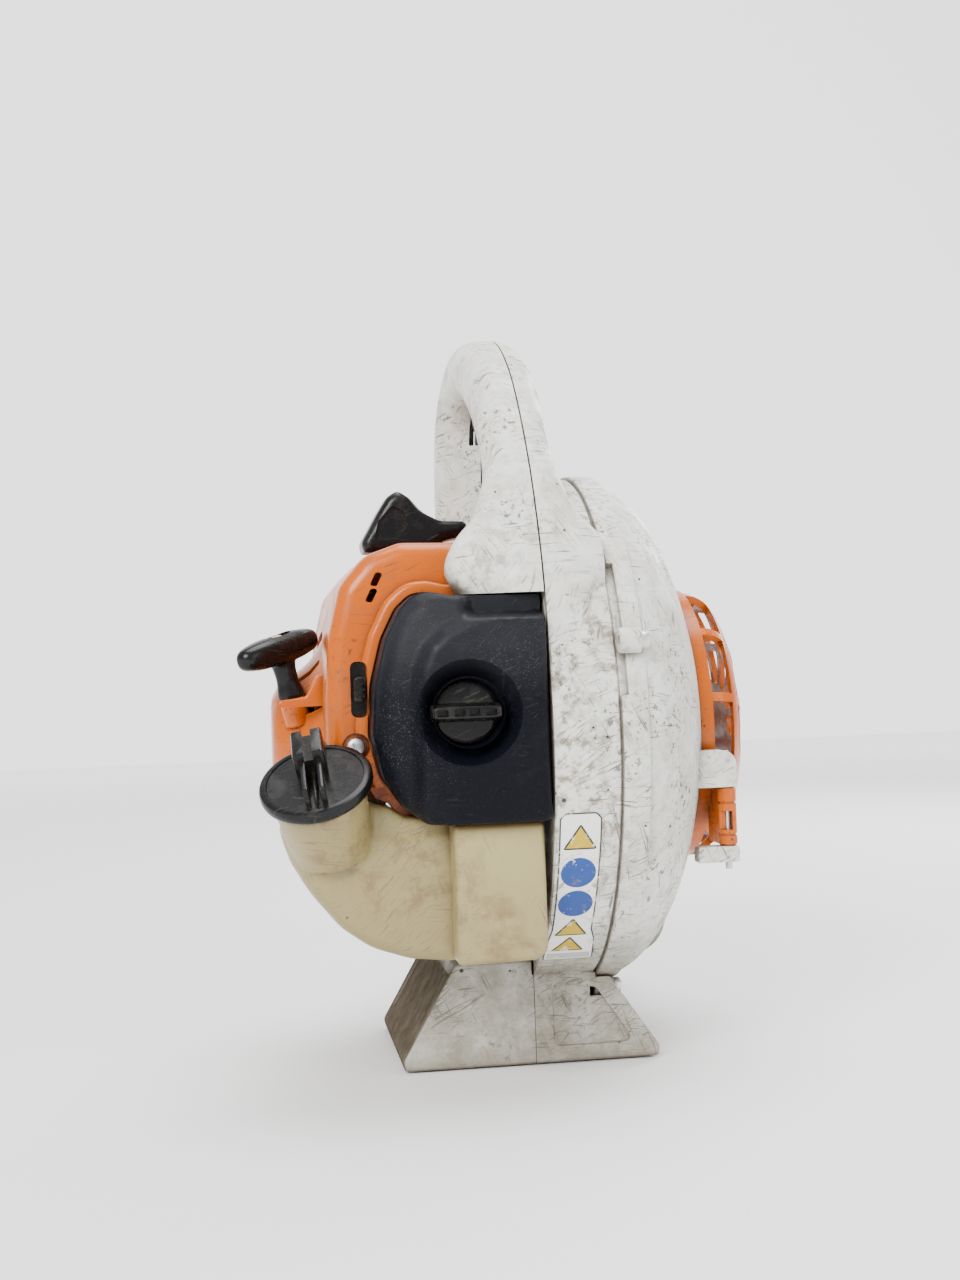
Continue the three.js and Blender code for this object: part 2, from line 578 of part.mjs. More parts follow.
add("crankcase_fan_side", crankcaseHalf(1), castAluminium());
add("crankcase_starter_side", crankcaseHalf(-1), castAluminium());
add("bearing_fan_side", ring("X", SHAFT_R + GAP, 13, CYL_X + 12.3, CYL_X + 20, onFanAxis, 20), steel());
add("bearing_starter_side", ring("X", SHAFT_R + GAP, 13, CYL_X - 20, CYL_X - 12.3, onFanAxis, 20),
  steel());
add("cylinder", cylinder(), castAluminium());
add("piston", piston(), castAluminium());
add("wrist_pin", rod("X", 3, -14, 14, [CYL_X, 0, WRIST_Z], 12), steel());
add("connecting_rod", connectingRod(), steel());
add("crank_pin", rod("X", 5, -WEB_GAP, WEB_GAP, [CYL_X, 0, BDC_PIN_Z], 12), steel());
ENGINE_BOLTS.forEach((place, i) =>
  add(`engine_screw_${i + 1}`, screwX(place, 3.8, 14, 2, 4.5).intersect(leftOf(7)), steel()));

// ---- ignition ----
function ignitionModule() {
  const coil = box(-19, -6, -13, 13, 216, 232);
  const legs = [-13, 7].map((y) => box(-17, -10, y, y + 6, 208.5, 220));
  const foot = box(-6.5, -GAP, -20, 20, 222, 230);
  return join(coil, ...legs, cut(foot, box(-20, 3, -19.5, 19.5, 219, 221)));
}

const LEAD_ROUTE = [vec(-19.7, 0, 267.5), vec(-12, 0, 266.5), vec(-8, 0, 261), vec(-8, 0, 250),
  vec(-12, 0, 241), vec(-12, 0, 232.8)];

function sparkPlug() {
  const profile = [[0, 230], [4.8, 230], [4.8, HEAD_Z + GAP], [8.5, HEAD_Z + GAP], [8.5, 246],
    [5, 247], [4.5, 262], [2.5, 262.5], [2.5, 270], [0, 270]];
  return lathe("Z", profile, onBore, 12);
}

function sparkPlugBoot() {
  const horn = [[-73, SHROUD_TOP_Z + GAP], [-75, 262], [-66, 276], [-61, 284], [-55, 288.5],
    [-49.5, 284], [-43, 276], [-34, 271.8], [-20, 271.8], [-20, 263.5], [-32, 261.5],
    [-38, SHROUD_TOP_Z + GAP]];
  const socket = lathe("Z", [[0, 240], [9.2, 240], [9.2, 247], [5.6, 250], [5.6, 271], [0, 271]],
    onBore, 16);
  const skirt = rod("Z", 12, 248, SHROUD_TOP_Z + 2, onBore, 20);
  return cut(join(prism("Y", horn, -15, 13, 4), skirt), socket,
    box(-66, -52, -20, -11, 266, 278));
}

add("ignition_module", ignitionModule(), blackPlastic());
add("ignition_lead", sweep(LEAD_ROUTE, 2.5, 8, 16), rubber());
add("spark_plug", sparkPlug(), steel());
add("spark_plug_boot", sparkPlugBoot(), blackPlastic());

// ---- exhaust and intake ----
function muffler() {
  const outer = prism("Y", [[-76, 182], [-24, 182], [-20, 187], [-20, 228], [-26, 234], [-72, 234],
    [-78, 228], [-78, 186]], 33, 76, 4, 1);
  const inner = prism("Y", [[-73, 185], [-24, 185], [-24, 230], [-73, 230]], 35, 74);
  return cut(outer, inner, rod("Y", 9, 30, 40, [CYL_X, 0, 206], 12),
    rod("Y", 6, 70, 80, [-64, 0, 194], 12));
}

function carburetor() {
  const body = box(-66, -34, -72, -46.5, 186, 218);
  const pump = box(-63, -37, -70, -48.5, 183, 187);
  return cut(join(body, pump), rod("Y", 8, -80, -40, [CYL_X, 0, 202], 16),
    rod("Z", 2.8, 180, 222, [CYL_X, -58, 0], 12), rod("Z", 2.6, 180, 186, [-42, -58, 0], 8));
}

function throttleShaft() {
  const shaft = rod("Z", 2.4, 187.2, 222, [CYL_X, -58, 0], 12);
  const plate = rod("Y", 7.5, -58.6, -57.4, [CYL_X, 0, 202], 16);
  const lever = box(CYL_X - 2, CYL_X + 9, -61, -55, 218.4, 221);
  return join(shaft, plate, lever);
}

const COVER_OUTLINE = [[-1.5, 126], [-1.5, 219], [-17, 222], [-34, 226], [-43, 228.6], [-52, 231],
  [-59, 230], [-66, 224], [-73, 210], [-78.5, 189], [-80, 166], [-75.5, 147], [-67, 134],
  [-57, 126]];
const insetOutline = (outline, amount, middle) => outline.map(([x, z]) => {
  const away = new THREE.Vector2(x - middle[0], z - middle[1]);
  away.setLength(away.length() - amount);
  return [middle[0] + away.x, middle[1] + away.y];
});
const COVER_MIDDLE = [-38, 178];

function filterCover() {
  const outer = prism("Y", COVER_OUTLINE, COVER_BACK_Y, COVER_RIM_Y + 9, 9, 2);
  const inside = insetOutline(COVER_OUTLINE, WALL + 1, COVER_MIDDLE);
  const inner = prism("Y", inside, COVER_BACK_Y + WALL, COVER_RIM_Y + 20, 9, 1);
  const cup = rod("Y", 26, COVER_BACK_Y + 1, -113.2, [KNOB_X + 2, 0, KNOB_Z], 24);
  const dish = lathe("Y", [[0, -135], [23.5, -135], [23.5, -128], [17, -115.7], [0, -115.7]],
    [KNOB_X + 1.5, 0, KNOB_Z], 20);
  const rim = box(-FAR, FAR, COVER_RIM_Y, FAR, 0, FAR);
  return cut(join(cut(outer, inner), cup), dish, rod("Y", 5.2, -130, -100, [KNOB_X, 0, KNOB_Z], 16),
    rim);
}

function filterKnob() {
  const onKnob = [KNOB_X, 0, KNOB_Z];
  const disc = rod("Y", 14, -121, -116, onKnob, 24);
  const wing = box(KNOB_X - 16, KNOB_X + 16, -126.5, -120, KNOB_Z - 4.4, KNOB_Z + 4.4);
  const stem = rod("Y", 4.8, -117, -105.4, onKnob, 16);
  return join(disc, wing, stem);
}

function filterBase() {
  const outline = insetOutline(COVER_OUTLINE, 3, COVER_MIDDLE);
  const plate = prism("Y", outline, -89.8, -SHROUD_Y - GAP);
  const spigot = rod("Y", 12, -88, -72.3, [CYL_X, 0, 202], 20);
  const post = rod("Y", 5, -105, -88, [KNOB_X, 0, KNOB_Z], 16);
  return cut(join(plate, spigot, post), rod("Y", 8, -95, -70, [CYL_X, 0, 202], 16));
}

add("muffler", muffler(), steel());
add("intake_manifold", ring("Y", 7, 12, -46.2, -32.3, [CYL_X, 0, 202], 20), rubber());
add("carburetor", carburetor(), castAluminium());
add("throttle_shaft", throttleShaft(), steel());
add("filter_base", filterBase(), blackPlastic());
add("air_filter", cut(prism("Y", insetOutline(COVER_OUTLINE, 14, COVER_MIDDLE), -104, -90.1),
  rod("Y", 6, -110, -80, [KNOB_X, 0, KNOB_Z], 16)), foam());
add("filter_cover", filterCover(), blackPlastic());
add("filter_knob", filterKnob(), blackPlastic());

// ---- fuel cap axis: it leans to the rear and to the left ----
const capTurn = new THREE.Quaternion().setFromEuler(
  new THREE.Euler(radians(CAP_LEAN_REAR), radians(-CAP_LEAN_LEFT), 0, "YXZ"));
const capAxis = vec(0, 0, 1).applyQuaternion(capTurn);
const onCap = (distance) => CAP_CENTRE.clone().addScaledVector(capAxis, distance);

// ---- shroud and starter ----
const SHROUD_OUTLINE = [[20, 120], [20, 255], [-45, 255.6], [-62, SHROUD_TOP_Z], [-79, 250],
  [-91, 236], [-97, 212], [SHROUD_LEFT_X, 183], [SHROUD_LEFT_X, 120]];

function shroud() {
  const outer = prism("Y", SHROUD_OUTLINE, -SHROUD_Y, SHROUD_Y, 7, 2);
  const insideOutline = SHROUD_OUTLINE.map(([x, z]) => [x + (x < 0 ? WALL : 0),
    z - (z > 190 ? WALL : 0)]);
  const inner = prism("Y", insideOutline, -SHROUD_Y + WALL, SHROUD_Y - WALL);
  const starterHole = rod("X", 54, -110, -80, onFanAxis, 32);
  const chokeSlot = box(-86, -81, -95, -75, 176, 199);
  const ovalHole = (x, z) => join(rod("Y", 2.2, -95, -70, [x, 0, z], 10),
    rod("Y", 2.2, -95, -70, [x + 3, 0, z + 3], 10));
  const intakeHole = box(-72, -28, -95, -75, 184, 222);
  const exhaustHole = box(-80, -52, 70, 95, 176, 204);
  const apron = box(-72.5, -GAP, -SHROUD_Y, -SHROUD_Y + WALL, TANK_TOP_Z + 1, SHROUD_BOTTOM_Z + 1);
  const airVents = Array.from({ length: 5 }, (_, i) => box(-90 + i * 14, -83 + i * 14, 70, 95, 214, 242));
  const hood = cut(outer, inner, rightOf(-GAP), box(-FAR, FAR, -FAR, FAR, 0, SHROUD_BOTTOM_Z));
  return cut(join(hood, apron), starterHole, chokeSlot, ovalHole(-77, 232), ovalHole(-74, 238),
    intakeHole, exhaustHole, rod("Z", 13, 240, 270, onBore, 20), rod("Z", 4, 240, 270, [-8, 0, 0], 12),
    rod("Y", 2.3, -95, -70, [-86, 0, 161], 10), cable(2.4), rod("X", 7, -110, -90, [0, -60, 156], 14),
    bar(onCap(-40), onCap(8), CAP_R + 1.5, 20),
    ...airVents);
}

function starterHousing() {
  const outside = [[0, -123], [20, -123], [27, -119], [38, -103], [49.5, -96]];
  const inside = [[49.8, -81], [46.5, -94.5], [36, -100.5], [22, -120], [4, -120],
    [4, -101], [0, -101]];
  const bowl = lathe("X", [...outside, [53, -81], ...inside], onFanAxis, 24);
  const ears = STARTER_BOLTS.map((place) => rod("X", 5.5, -83.8, -80.8, place, 8));
  const ropeTower = bar(ROPE_FOOT.clone().addScaledVector(ROPE_AXIS, -14), ROPE_FOOT, 6.5, 14);
  const ropeHole = bar(ROPE_FOOT.clone().addScaledVector(ROPE_AXIS, -30),
    ROPE_FOOT.clone().addScaledVector(ROPE_AXIS, 9), 2.6, 10);
  const innerRoom = rod("X", 28.4, -110.6, -101, onFanAxis, 20);
  const holes = STARTER_BOLTS.map((place) => rod("X", 2.3, -90, -75, place, 6));
  return cut(join(cut(join(bowl, ropeTower), innerRoom), ...ears), ropeHole, ...holes);
}

function ropeRotor() {
  const profile = [[4.3, -110], [27, -110], [27, -108.5], [23.5, -107.5], [23.5, -104.5],
    [27, -103.5], [27, -102], [4.3, -102], [4.3, -110]];
  return lathe("X", profile, onFanAxis, 16);
}

function starterGrip() {
  const seat = ROPE_FOOT.clone().addScaledVector(ROPE_AXIS, GAP);
  const top = ROPE_FOOT.clone().addScaledVector(ROPE_AXIS, 25);
  const barAxis = vec(0.7, 0.68, 0.22).normalize();
  const upward = ROPE_AXIS.clone().cross(barAxis).cross(barAxis).normalize().negate();
  const sideways = barAxis.clone().cross(upward).normalize();
  const section = (along, high, wide) => oval(top.clone().addScaledVector(barAxis, along),
    upward, sideways, high, wide, 1.1, 12);
  const cross = loft([section(-27, 4, 3), section(-23, 6, 6), section(-9, 7.5, 8),
    section(9, 7.5, 8), section(21, 6, 6), section(26, 4, 2.5)]);
  const across = ROPE_AXIS.clone().cross(vec(0, 1, 0)).normalize();
  const beside = ROPE_AXIS.clone().cross(across).normalize();
  const neck = loft([oval(seat, across, beside, 7, 6, 1, 12),
    oval(seat.clone().lerp(top, 0.4), across, beside, 5.5, 4.5, 1, 12),
    oval(top, across, beside, 9, 6, 1, 12)]);
  const pocket = bar(top.clone().addScaledVector(upward, 1), top.clone().addScaledVector(upward, 12), 5.2, 12);
  const ropeHole = bar(seat.clone().addScaledVector(ROPE_AXIS, -3), top.clone().addScaledVector(upward, 3), 2.4, 10);
  return cut(join(cross, neck), pocket, ropeHole);
}

function starterRope() {
  const seat = ROPE_FOOT.clone();
  const top = seat.clone().addScaledVector(ROPE_AXIS, 25);
  const low = seat.clone().addScaledVector(ROPE_AXIS, -12);
  const leg = bar(low, top.clone().addScaledVector(ROPE_AXIS, 2), 1.7, 8);
  const knot = bar(top.clone().addScaledVector(ROPE_AXIS, 1.5), top.clone().addScaledVector(ROPE_AXIS, 5.5), 4, 8);
  return join(leg, knot);
}

const screwRear = (x, y, z, length) => {
  const profile = [[0, y - 3], [3, y - 3], [4.2, y - 1.8], [4.2, y], [2, y], [2, y + length], [0, y + length]];
  return lathe("Y", profile, [x, 0, z], 12);
};

function chokeKnob() {
  const tip = prism("Y", [[-86, 182], [-81.5, 182], [-81.5, 194], [-86, 194]], -93, -85 - GAP, 1.2);
  const stem = box(-85.2, -82.4, -87, -70, 184, 192);
  const flange = box(-88, -79, -81.5, -79, 174, 201);
  return join(tip, stem, flange);
}

add("shroud", shroud(), orangePlastic());
add("shroud_screw", screwRear(-86, -85 - GAP, 161, 8), steel());
add("choke_knob", chokeKnob(), blackPlastic());
add("primer_bulb", lathe("X", [[0, -106.5], [4.5, -105.5], [6.5, -102.5], [6.5, -94], [0, -94]],
  [0, -60, 156], 14), rubber());
add("starter_housing", starterHousing(), orangePlastic());
add("rope_rotor", ropeRotor(), blackPlastic());
add("rewind_spring", ring("X", 6, 18, -119.4, -110.6, onFanAxis, 24), steel());
add("starter_cup", lathe("X", [[SHAFT_R + GAP, -98], [8, -98], [9, -92], [21, -92], [22, -98],
  [24, -98], [24, -88], [SHAFT_R + GAP, -88], [SHAFT_R + GAP, -98]], onFanAxis, 16), steel());
add("starter_grip", starterGrip(), blackPlastic());
add("starter_rope", starterRope(), rope());

// ---- fuel tank ----

function tankBody(inset) {
  const rounded = [[-6, 66], [-12, 62], [-45, 60], [-64, 62], [-82, 68], [-96, 78], [-109, 94],
    [-118, 109], [-123, TANK_TOP_Z], [-6, TANK_TOP_Z]];
  const proud = [[-4, 67], [-8, 63], [-45, 62], [-45, TANK_TOP_Z], [-4, TANK_TOP_Z]];
  const shoulder = [[-115, 100], [-74, 100], [-76, 134], [-86, 139], [-100, 139]];
  const shrink = (outline, middle) => (inset > 0 ? insetOutline(outline, inset, middle) : outline);
  const neck = inset > 0 ? bar(onCap(-36), onCap(5), 17, 16) : bar(onCap(-34), onCap(0), 21, 20);
  return join(
    prism("Y", shrink(rounded, [-60, 95]), -98 + inset, 35 - inset, inset > 0 ? 0 : 7, 1),
    prism("Y", shrink(proud, [-25, 95]), -118 + inset, -60 - inset, inset > 0 ? 0 : 3, 1),
    prism("Y", shrink(shoulder, [-92, 116]), -95 + inset, -62 - inset, inset > 0 ? 0 : 5, 1), neck);
}

function fuelTank() {
  const neckTop = bar(onCap(-3.5), onCap(60), 40, 24);
  const engineRoom = (inset) => box(-FAR, FAR, -58 - inset, FAR, 106 - inset, FAR);
  const fuelSpace = cut(tankBody(WALL), engineRoom(WALL));
  return cut(tankBody(0), engineRoom(0), neckTop, fuelSpace,
    rod("Z", 4.2, 118, 130, [-40, -70, 0], 12));
}

function fuelCap() {
  const disc = join(bar(onCap(-1.2), onCap(4.5), CAP_R, 20), bar(onCap(4.4), onCap(6), CAP_R - 2, 20));
  const wing = solid(new THREE.BoxGeometry(9, 42, 15).translate(0, 0, 12)
    .applyQuaternion(capTurn).translate(CAP_CENTRE.x, CAP_CENTRE.y, CAP_CENTRE.z));
  return join(disc, wing);
}

function capSeal() {
  const outer = bar(onCap(-3.2), onCap(-1.5), 20, 16);
  return cut(outer, bar(onCap(-6), onCap(3), 16, 16));
}

const HOSE_ROUTE = [vec(-40, -70, 126), vec(-40, -70, 140), vec(-42, -62, 158), vec(-42, -58, 172),
  vec(-42, -58, 182.6)];

add("fuel_tank", fuelTank(), creamPlastic());
add("fuel_cap", fuelCap(), blackPlastic());
add("cap_plug", bar(onCap(-14), onCap(-1.2 - GAP), 15.2, 20), blackPlastic());
add("cap_seal", capSeal(), rubber());
const hoseFoot = lathe("Z", [[0, 121], [4, 121], [4, 125.7], [6.5, 125.7], [6.5, 129], [0, 129]],
  [-40, -70, 0], 12);
add("fuel_hose", join(sweep(HOSE_ROUTE, 2.5, 8, 14), hoseFoot), rubber());

// ---- controls ----
function trigger() {
  const blade = [[62, 349], [52, 351], [44, 344], [30, 341], [21, 335], [20, 330], [26, 326],
    [38, 323], [48, 325], [56, 331], [62, 341]];
  return cut(prism("X", blade, -6.4, 6.4, 1.2), triggerPin(2.3, -20, 20));
}

add("throttle_trigger", trigger(), blackPlastic());
add("trigger_pin", triggerPin(1.9, -14, 11), steel());
add("throttle_cable", cable(1.5), rubber());

export default object;
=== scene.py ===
"""Looks of a hand-held petrol blower's power unit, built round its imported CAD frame.

Lengths are in millimetres inside the shape helpers and become metres when a mesh is made.
+X points to the air inlet, +Y to the air outlet, +Z up. The origin is under the crankshaft.
"""
import json
from math import copysign, cos, hypot, pi, radians, sin, sqrt, tan

import bmesh
import bpy
from mathutils import Matrix, Vector
from mathutils.kdtree import KDTree


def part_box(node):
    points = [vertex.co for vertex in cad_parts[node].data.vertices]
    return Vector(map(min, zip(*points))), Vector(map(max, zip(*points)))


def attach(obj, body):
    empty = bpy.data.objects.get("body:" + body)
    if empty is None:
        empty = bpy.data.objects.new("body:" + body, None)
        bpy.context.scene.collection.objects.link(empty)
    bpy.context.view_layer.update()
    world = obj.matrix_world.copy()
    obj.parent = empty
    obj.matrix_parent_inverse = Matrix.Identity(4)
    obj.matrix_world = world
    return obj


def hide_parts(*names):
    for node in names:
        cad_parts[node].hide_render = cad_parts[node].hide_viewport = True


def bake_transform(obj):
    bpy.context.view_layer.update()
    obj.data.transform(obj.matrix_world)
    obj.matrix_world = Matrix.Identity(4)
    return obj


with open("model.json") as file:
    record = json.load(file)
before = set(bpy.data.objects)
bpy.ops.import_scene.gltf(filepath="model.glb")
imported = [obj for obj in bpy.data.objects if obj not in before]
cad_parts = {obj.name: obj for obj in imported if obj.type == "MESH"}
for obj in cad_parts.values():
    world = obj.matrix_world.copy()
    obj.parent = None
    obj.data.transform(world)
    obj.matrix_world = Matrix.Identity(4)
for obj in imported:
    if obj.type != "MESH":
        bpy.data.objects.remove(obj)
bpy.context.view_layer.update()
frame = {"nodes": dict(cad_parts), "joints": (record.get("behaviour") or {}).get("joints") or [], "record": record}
link = bpy.context.collection.objects.link
MM = 0.001

# ---- places taken from the frame, in millimetres ----


def corners(node):
    low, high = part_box(node)
    return Vector(low) / MM, Vector(high) / MM


def joint(name):
    found = next(j for j in frame["joints"] if j["name"] == name)
    place = Vector(found["pos_m"]) / MM if "pos_m" in found else None
    return place, Vector(found["axis"]).normalized()


FAN_AXIS = joint("crank_spin")[0]
AXIS_Z = FAN_AXIS.z
KNOB = joint("knob_turn")[0]
CAP, CAP_AXIS = joint("cap_turn")
ROPE_AXIS = joint("starter_pull")[1]
HINGE = joint("guard_swing")[0]
SCREWS = [corners(f"housing_screw_{i + 1}") for i in range(4)]
SCREWS_AT = [((low.y + high.y) / 2, (low.z + high.z) / 2) for low, high in SCREWS]
SHROUD_LOW, SHROUD_HIGH = corners("shroud")
COVER_LOW, COVER_HIGH = corners("filter_cover")
RIM_R = 129
SEAM_X = 31
LATCH_AT = (76, AXIS_Z)
PLUG_X = -50
LEAD_X = -8
PRIMER_AT = (-60, 156)
X, Y, Z = (1, 0, 0), (0, 1, 0), (0, 0, 1)

# ---- materials ----


class Nodes:
    """Adds shader nodes in short calls; a value may be a number, a tuple or a socket.

    The tint is built up in layers: base() starts it and each coat() lies over the last.
    """

    def __init__(self, name, kind="materials"):
        self.owner = getattr(bpy.data, kind).new(name)
        self.owner.use_nodes = True
        self.tree = self.owner.node_tree
        self.places = self.tree.nodes.new("ShaderNodeTexCoord").outputs
        self.place = self.places["Object"]

    def set(self, socket, value):
        if isinstance(value, bpy.types.NodeSocket):
            self.tree.links.new(value, socket)
        else:
            socket.default_value = (*value, 1) if socket.type == "RGBA" else value

    def add(self, kind, output=0, settings=None, **inputs):
        node = self.tree.nodes.new("ShaderNode" + kind)
        for key, value in (settings or {}).items():
            setattr(node, key, value)
        for key, value in inputs.items():
            self.set(node.inputs[int(key[1:]) if key[1:].isdigit() else key], value)
        return node.outputs[output]

    def stretched(self, scale=(1, 1, 1), turn=(0, 0, 0), offset=(0, 0, 0)):
        """Places turned first and then stretched, so marks can run in any direction."""
        return self.add("Mapping", settings={"vector_type": "TEXTURE"}, Vector=self.place,
                        Scale=tuple(1 / s for s in scale), Rotation=turn, Location=offset)

    def noise(self, scale, detail=4, rough=0.6, vector=None):
        return self.add("TexNoise", Vector=vector or self.place, Scale=scale, Detail=detail,
                        Roughness=rough)

    def ramp(self, value, low, high, start=0, end=1):
        return self.add("MapRange", Value=value,
                        **{"From Min": low, "From Max": high, "To Min": start, "To Max": end})

    def math(self, operation, a, b):
        return self.add("Math", settings={"operation": operation}, _0=a, _1=b)

    def times(self, a, b):
        return self.math("MULTIPLY", a, b)

    def mix(self, factor, a, b):
        return self.add("Mix", 2, {"data_type": "RGBA"}, _0=factor, _6=a, _7=b)

    def base(self, patches, tint, other):
        self.tint = self.mix(patches, tint, other)

    def coat(self, mask, tint, amount=None):
        mask = mask if amount is None else self.times(mask, amount)
        self.tint = self.mix(mask, self.tint, tint)

    def bump(self, height, strength, distance=0.0002):
        return self.add("Bump", Height=height, Strength=strength, Distance=distance)

    def relief(self, scale, marks, strength=0.25):
        """Fine grain with marks cut into it."""
        grain = self.times(self.noise(scale, 3), 0.3)
        return self.bump(self.math("SUBTRACT", grain, marks), strength, 0.00025)

    def along(self, axis):
        return self.add("SeparateXYZ", axis, Vector=self.place)

    def scratches(self, count, start, seed=0, fine=2300, coarse=85):
        """Hairline strokes in several directions, gathered in patches."""
        total = None
        for i in range(count):
            turn = (0.7 + 1.3 * i + seed, 0.4 + 2.1 * i, 1.1 + 0.8 * i)
            size = 1 + 0.3 * i
            place = self.stretched((fine / size, coarse / size, coarse * 1.3 / size), turn,
                                   (3.1 * i + seed, 1.7 * i, 0.9 * i))
            strokes = self.ramp(self.noise(1, 1, 0.5, place), start, start + 0.03)
            patches = self.ramp(self.noise(19 + 3 * i, 3), 0.46 + 0.02 * i, 0.62)
            strokes = self.times(strokes, patches)
            total = self.math("MAXIMUM", total, strokes) if i else strokes
        return total

    def blots(self, fine, coarse, start, spread, keep, offset=0, detail=6):
        """Fine marks that gather in patches."""
        place = self.stretched(offset=(offset, 0.3 * offset, 2 + offset))
        marks = self.ramp(self.noise(fine, detail, 0.65, place), start, start + spread)
        place = self.stretched(offset=(5 + offset, 1, offset))
        return self.times(marks, self.ramp(self.noise(coarse, 3, 0.6, place), keep, keep + 0.08))

    def specks(self, scale, size, keep):
        """Small round marks, kept in only some cells."""
        distance = self.add("TexVoronoi", "Distance", Vector=self.place, Scale=scale)
        split = self.add("SeparateColor", Color=distance.node.outputs["Color"])
        return self.times(self.ramp(distance, size, size * 0.7), self.math("LESS_THAN", split, keep))

    def between(self, low, high, soft):
        """1 between two heights in metres, fading out over soft."""
        height = self.along(2)
        return self.times(self.ramp(height, low - soft, low), self.ramp(height, high + soft, high))

    def crevices(self, distance):
        """1 deep in corners and gaps, 0 in the open."""
        open_air = self.add("AmbientOcclusion", "AO", {"samples": 6}, Distance=distance)
        return self.ramp(open_air, 0.85, 0.3)

    def finish(self, **inputs):
        surface = self.tree.nodes["Principled BSDF"].inputs
        self.set(surface["Base Color"], self.tint)
        for key, value in inputs.items():
            self.set(surface[key.replace("_", " ")], value)
        return self.owner


def worn_white():
    n = Nodes("worn_white_plastic")
    n.base(n.noise(9, 3), (0.74, 0.74, 0.7), (0.62, 0.62, 0.565))
    film = n.ramp(n.noise(55, 9, 0.72), 0.42, 0.72, 0, 0.6)
    n.coat(film, (0.36, 0.335, 0.265))
    across = n.along(0)
    belt = n.times(n.between(0.12, 0.22, 0.05), n.ramp(across, 0.036, 0.03))
    belt = n.math("ADD", 0.22, n.times(belt, 0.66))
    n.coat(n.times(n.blots(170, 20, 0.47, 0.13, 0.43), belt), (0.2, 0.16, 0.11))
    n.coat(n.blots(330, 27, 0.56, 0.06, 0.5, 3), (0.1, 0.092, 0.08), 0.9)
    rust = n.blots(60, 24, 0.6, 0.07, 0.6, 7, 3)
    n.coat(rust, (0.36, 0.18, 0.07), 0.65)
    foot = n.times(n.between(-0.02, 0.044, 0.03), n.ramp(n.noise(60, 8, 0.75), 0.32, 0.62, 0.45, 1))
    n.coat(foot, (0.215, 0.195, 0.145), 0.95)
    # Painted shade with dirt: the left stand's flank, facing -X under the tank, is darkened and its specular cut,
    # standing in for its shadow.
    facing = n.add("SeparateXYZ", 0, Vector=n.add("NewGeometry", "Normal"))
    flank = n.times(n.ramp(across, -0.036, -0.042), n.ramp(facing, -0.3, -0.7))
    flank = n.times(flank, n.between(-0.02, 0.056, 0.004))
    n.coat(n.times(flank, n.ramp(n.noise(90, 8), 0.35, 0.7, 0.97, 0.78)), (0.075, 0.058, 0.04))
    # Painted shade with grime: brown darkening in corners, gaps and seams, laid by ambient occlusion.
    n.coat(n.crevices(0.011), (0.12, 0.09, 0.06), 0.85)
    lines = n.scratches(6, 0.645)
    n.coat(lines, (0.12, 0.105, 0.085), 0.85)
    pits = n.math("MAXIMUM", n.specks(55, 0.075, 0.32), n.specks(170, 0.13, 0.12))
    n.coat(pits, (0.035, 0.03, 0.027))
    return n.finish(Roughness=n.ramp(film, 0, 0.4, 0.33, 0.72),
                    Specular_IOR_Level=n.ramp(flank, 0, 1, 0.4, 0),
                    Normal=n.relief(420, n.math("ADD", lines, pits), 0.35))


def worn_orange():
    n = Nodes("worn_orange_plastic")
    n.base(n.noise(12, 3), (0.53, 0.102, 0), (0.41, 0.074, 0))
    film = n.ramp(n.noise(48, 8, 0.7), 0.5, 0.78, 0, 0.5)
    n.coat(film, (0.17, 0.055, 0.012))
    # Painted shade with grime: dark brown in corners and gaps, laid by ambient occlusion.
    n.coat(n.crevices(0.006), (0.09, 0.035, 0.014), 0.8)
    n.coat(n.blots(300, 30, 0.58, 0.08, 0.54, 2), (0.07, 0.025, 0.01), 0.75)
    lines = n.scratches(3, 0.67, 1.7)
    n.coat(lines, (0.12, 0.035, 0.01), 0.7)
    n.coat(n.specks(130, 0.12, 0.2), (0.05, 0.02, 0.01))
    return n.finish(Roughness=n.ramp(film, 0, 0.5, 0.24, 0.55), Specular_IOR_Level=0.3,
                    Normal=n.relief(300, lines))


def textured_black():
    n = Nodes("textured_black_plastic")
    dust = n.ramp(n.noise(34, 8, 0.72), 0.5, 0.8, 0, 0.3)
    n.base(dust, (0.0016, 0.0019, 0.0042), (0.022, 0.022, 0.027))
    # Painted light: a lighter grey over the cover's upper shoulder, above z 206 mm, where light falls on it.
    n.coat(n.between(0.206, 0.25, 0.025), (0.06, 0.06, 0.065), 0.16)
    grain = n.noise(1500, 3, 0.6)
    patches = n.ramp(n.noise(16, 4), 0.42, 0.62, 0.12, 0.75)
    n.coat(n.times(n.ramp(grain, 0.6, 0.72), patches), (0.085, 0.085, 0.1))
    n.coat(n.scratches(3, 0.69, 0.6), (0.08, 0.08, 0.08), 0.16)
    n.coat(n.specks(100, 0.08, 0.12), (0.22, 0.2, 0.17))
    return n.finish(Roughness=n.ramp(dust, 0, 0.34, 0.46, 0.7), Specular_IOR_Level=0.11,
                    Normal=n.bump(grain, 0.4))


def smooth_black():
    n = Nodes("smooth_black_plastic")
    dust = n.ramp(n.noise(60, 8, 0.72), 0.52, 0.8, 0, 0.4)
    n.base(dust, (0.0045, 0.0047, 0.0052), (0.06, 0.054, 0.046))
    n.coat(n.crevices(0.004), (0.055, 0.045, 0.03), 0.35)
    n.coat(n.scratches(3, 0.68, 2.2), (0.11, 0.1, 0.09), 0.25)
    return n.finish(Roughness=n.ramp(dust, 0, 0.4, 0.27, 0.6), Specular_IOR_Level=0.22,
                    Normal=n.bump(n.noise(500, 3), 0.15))


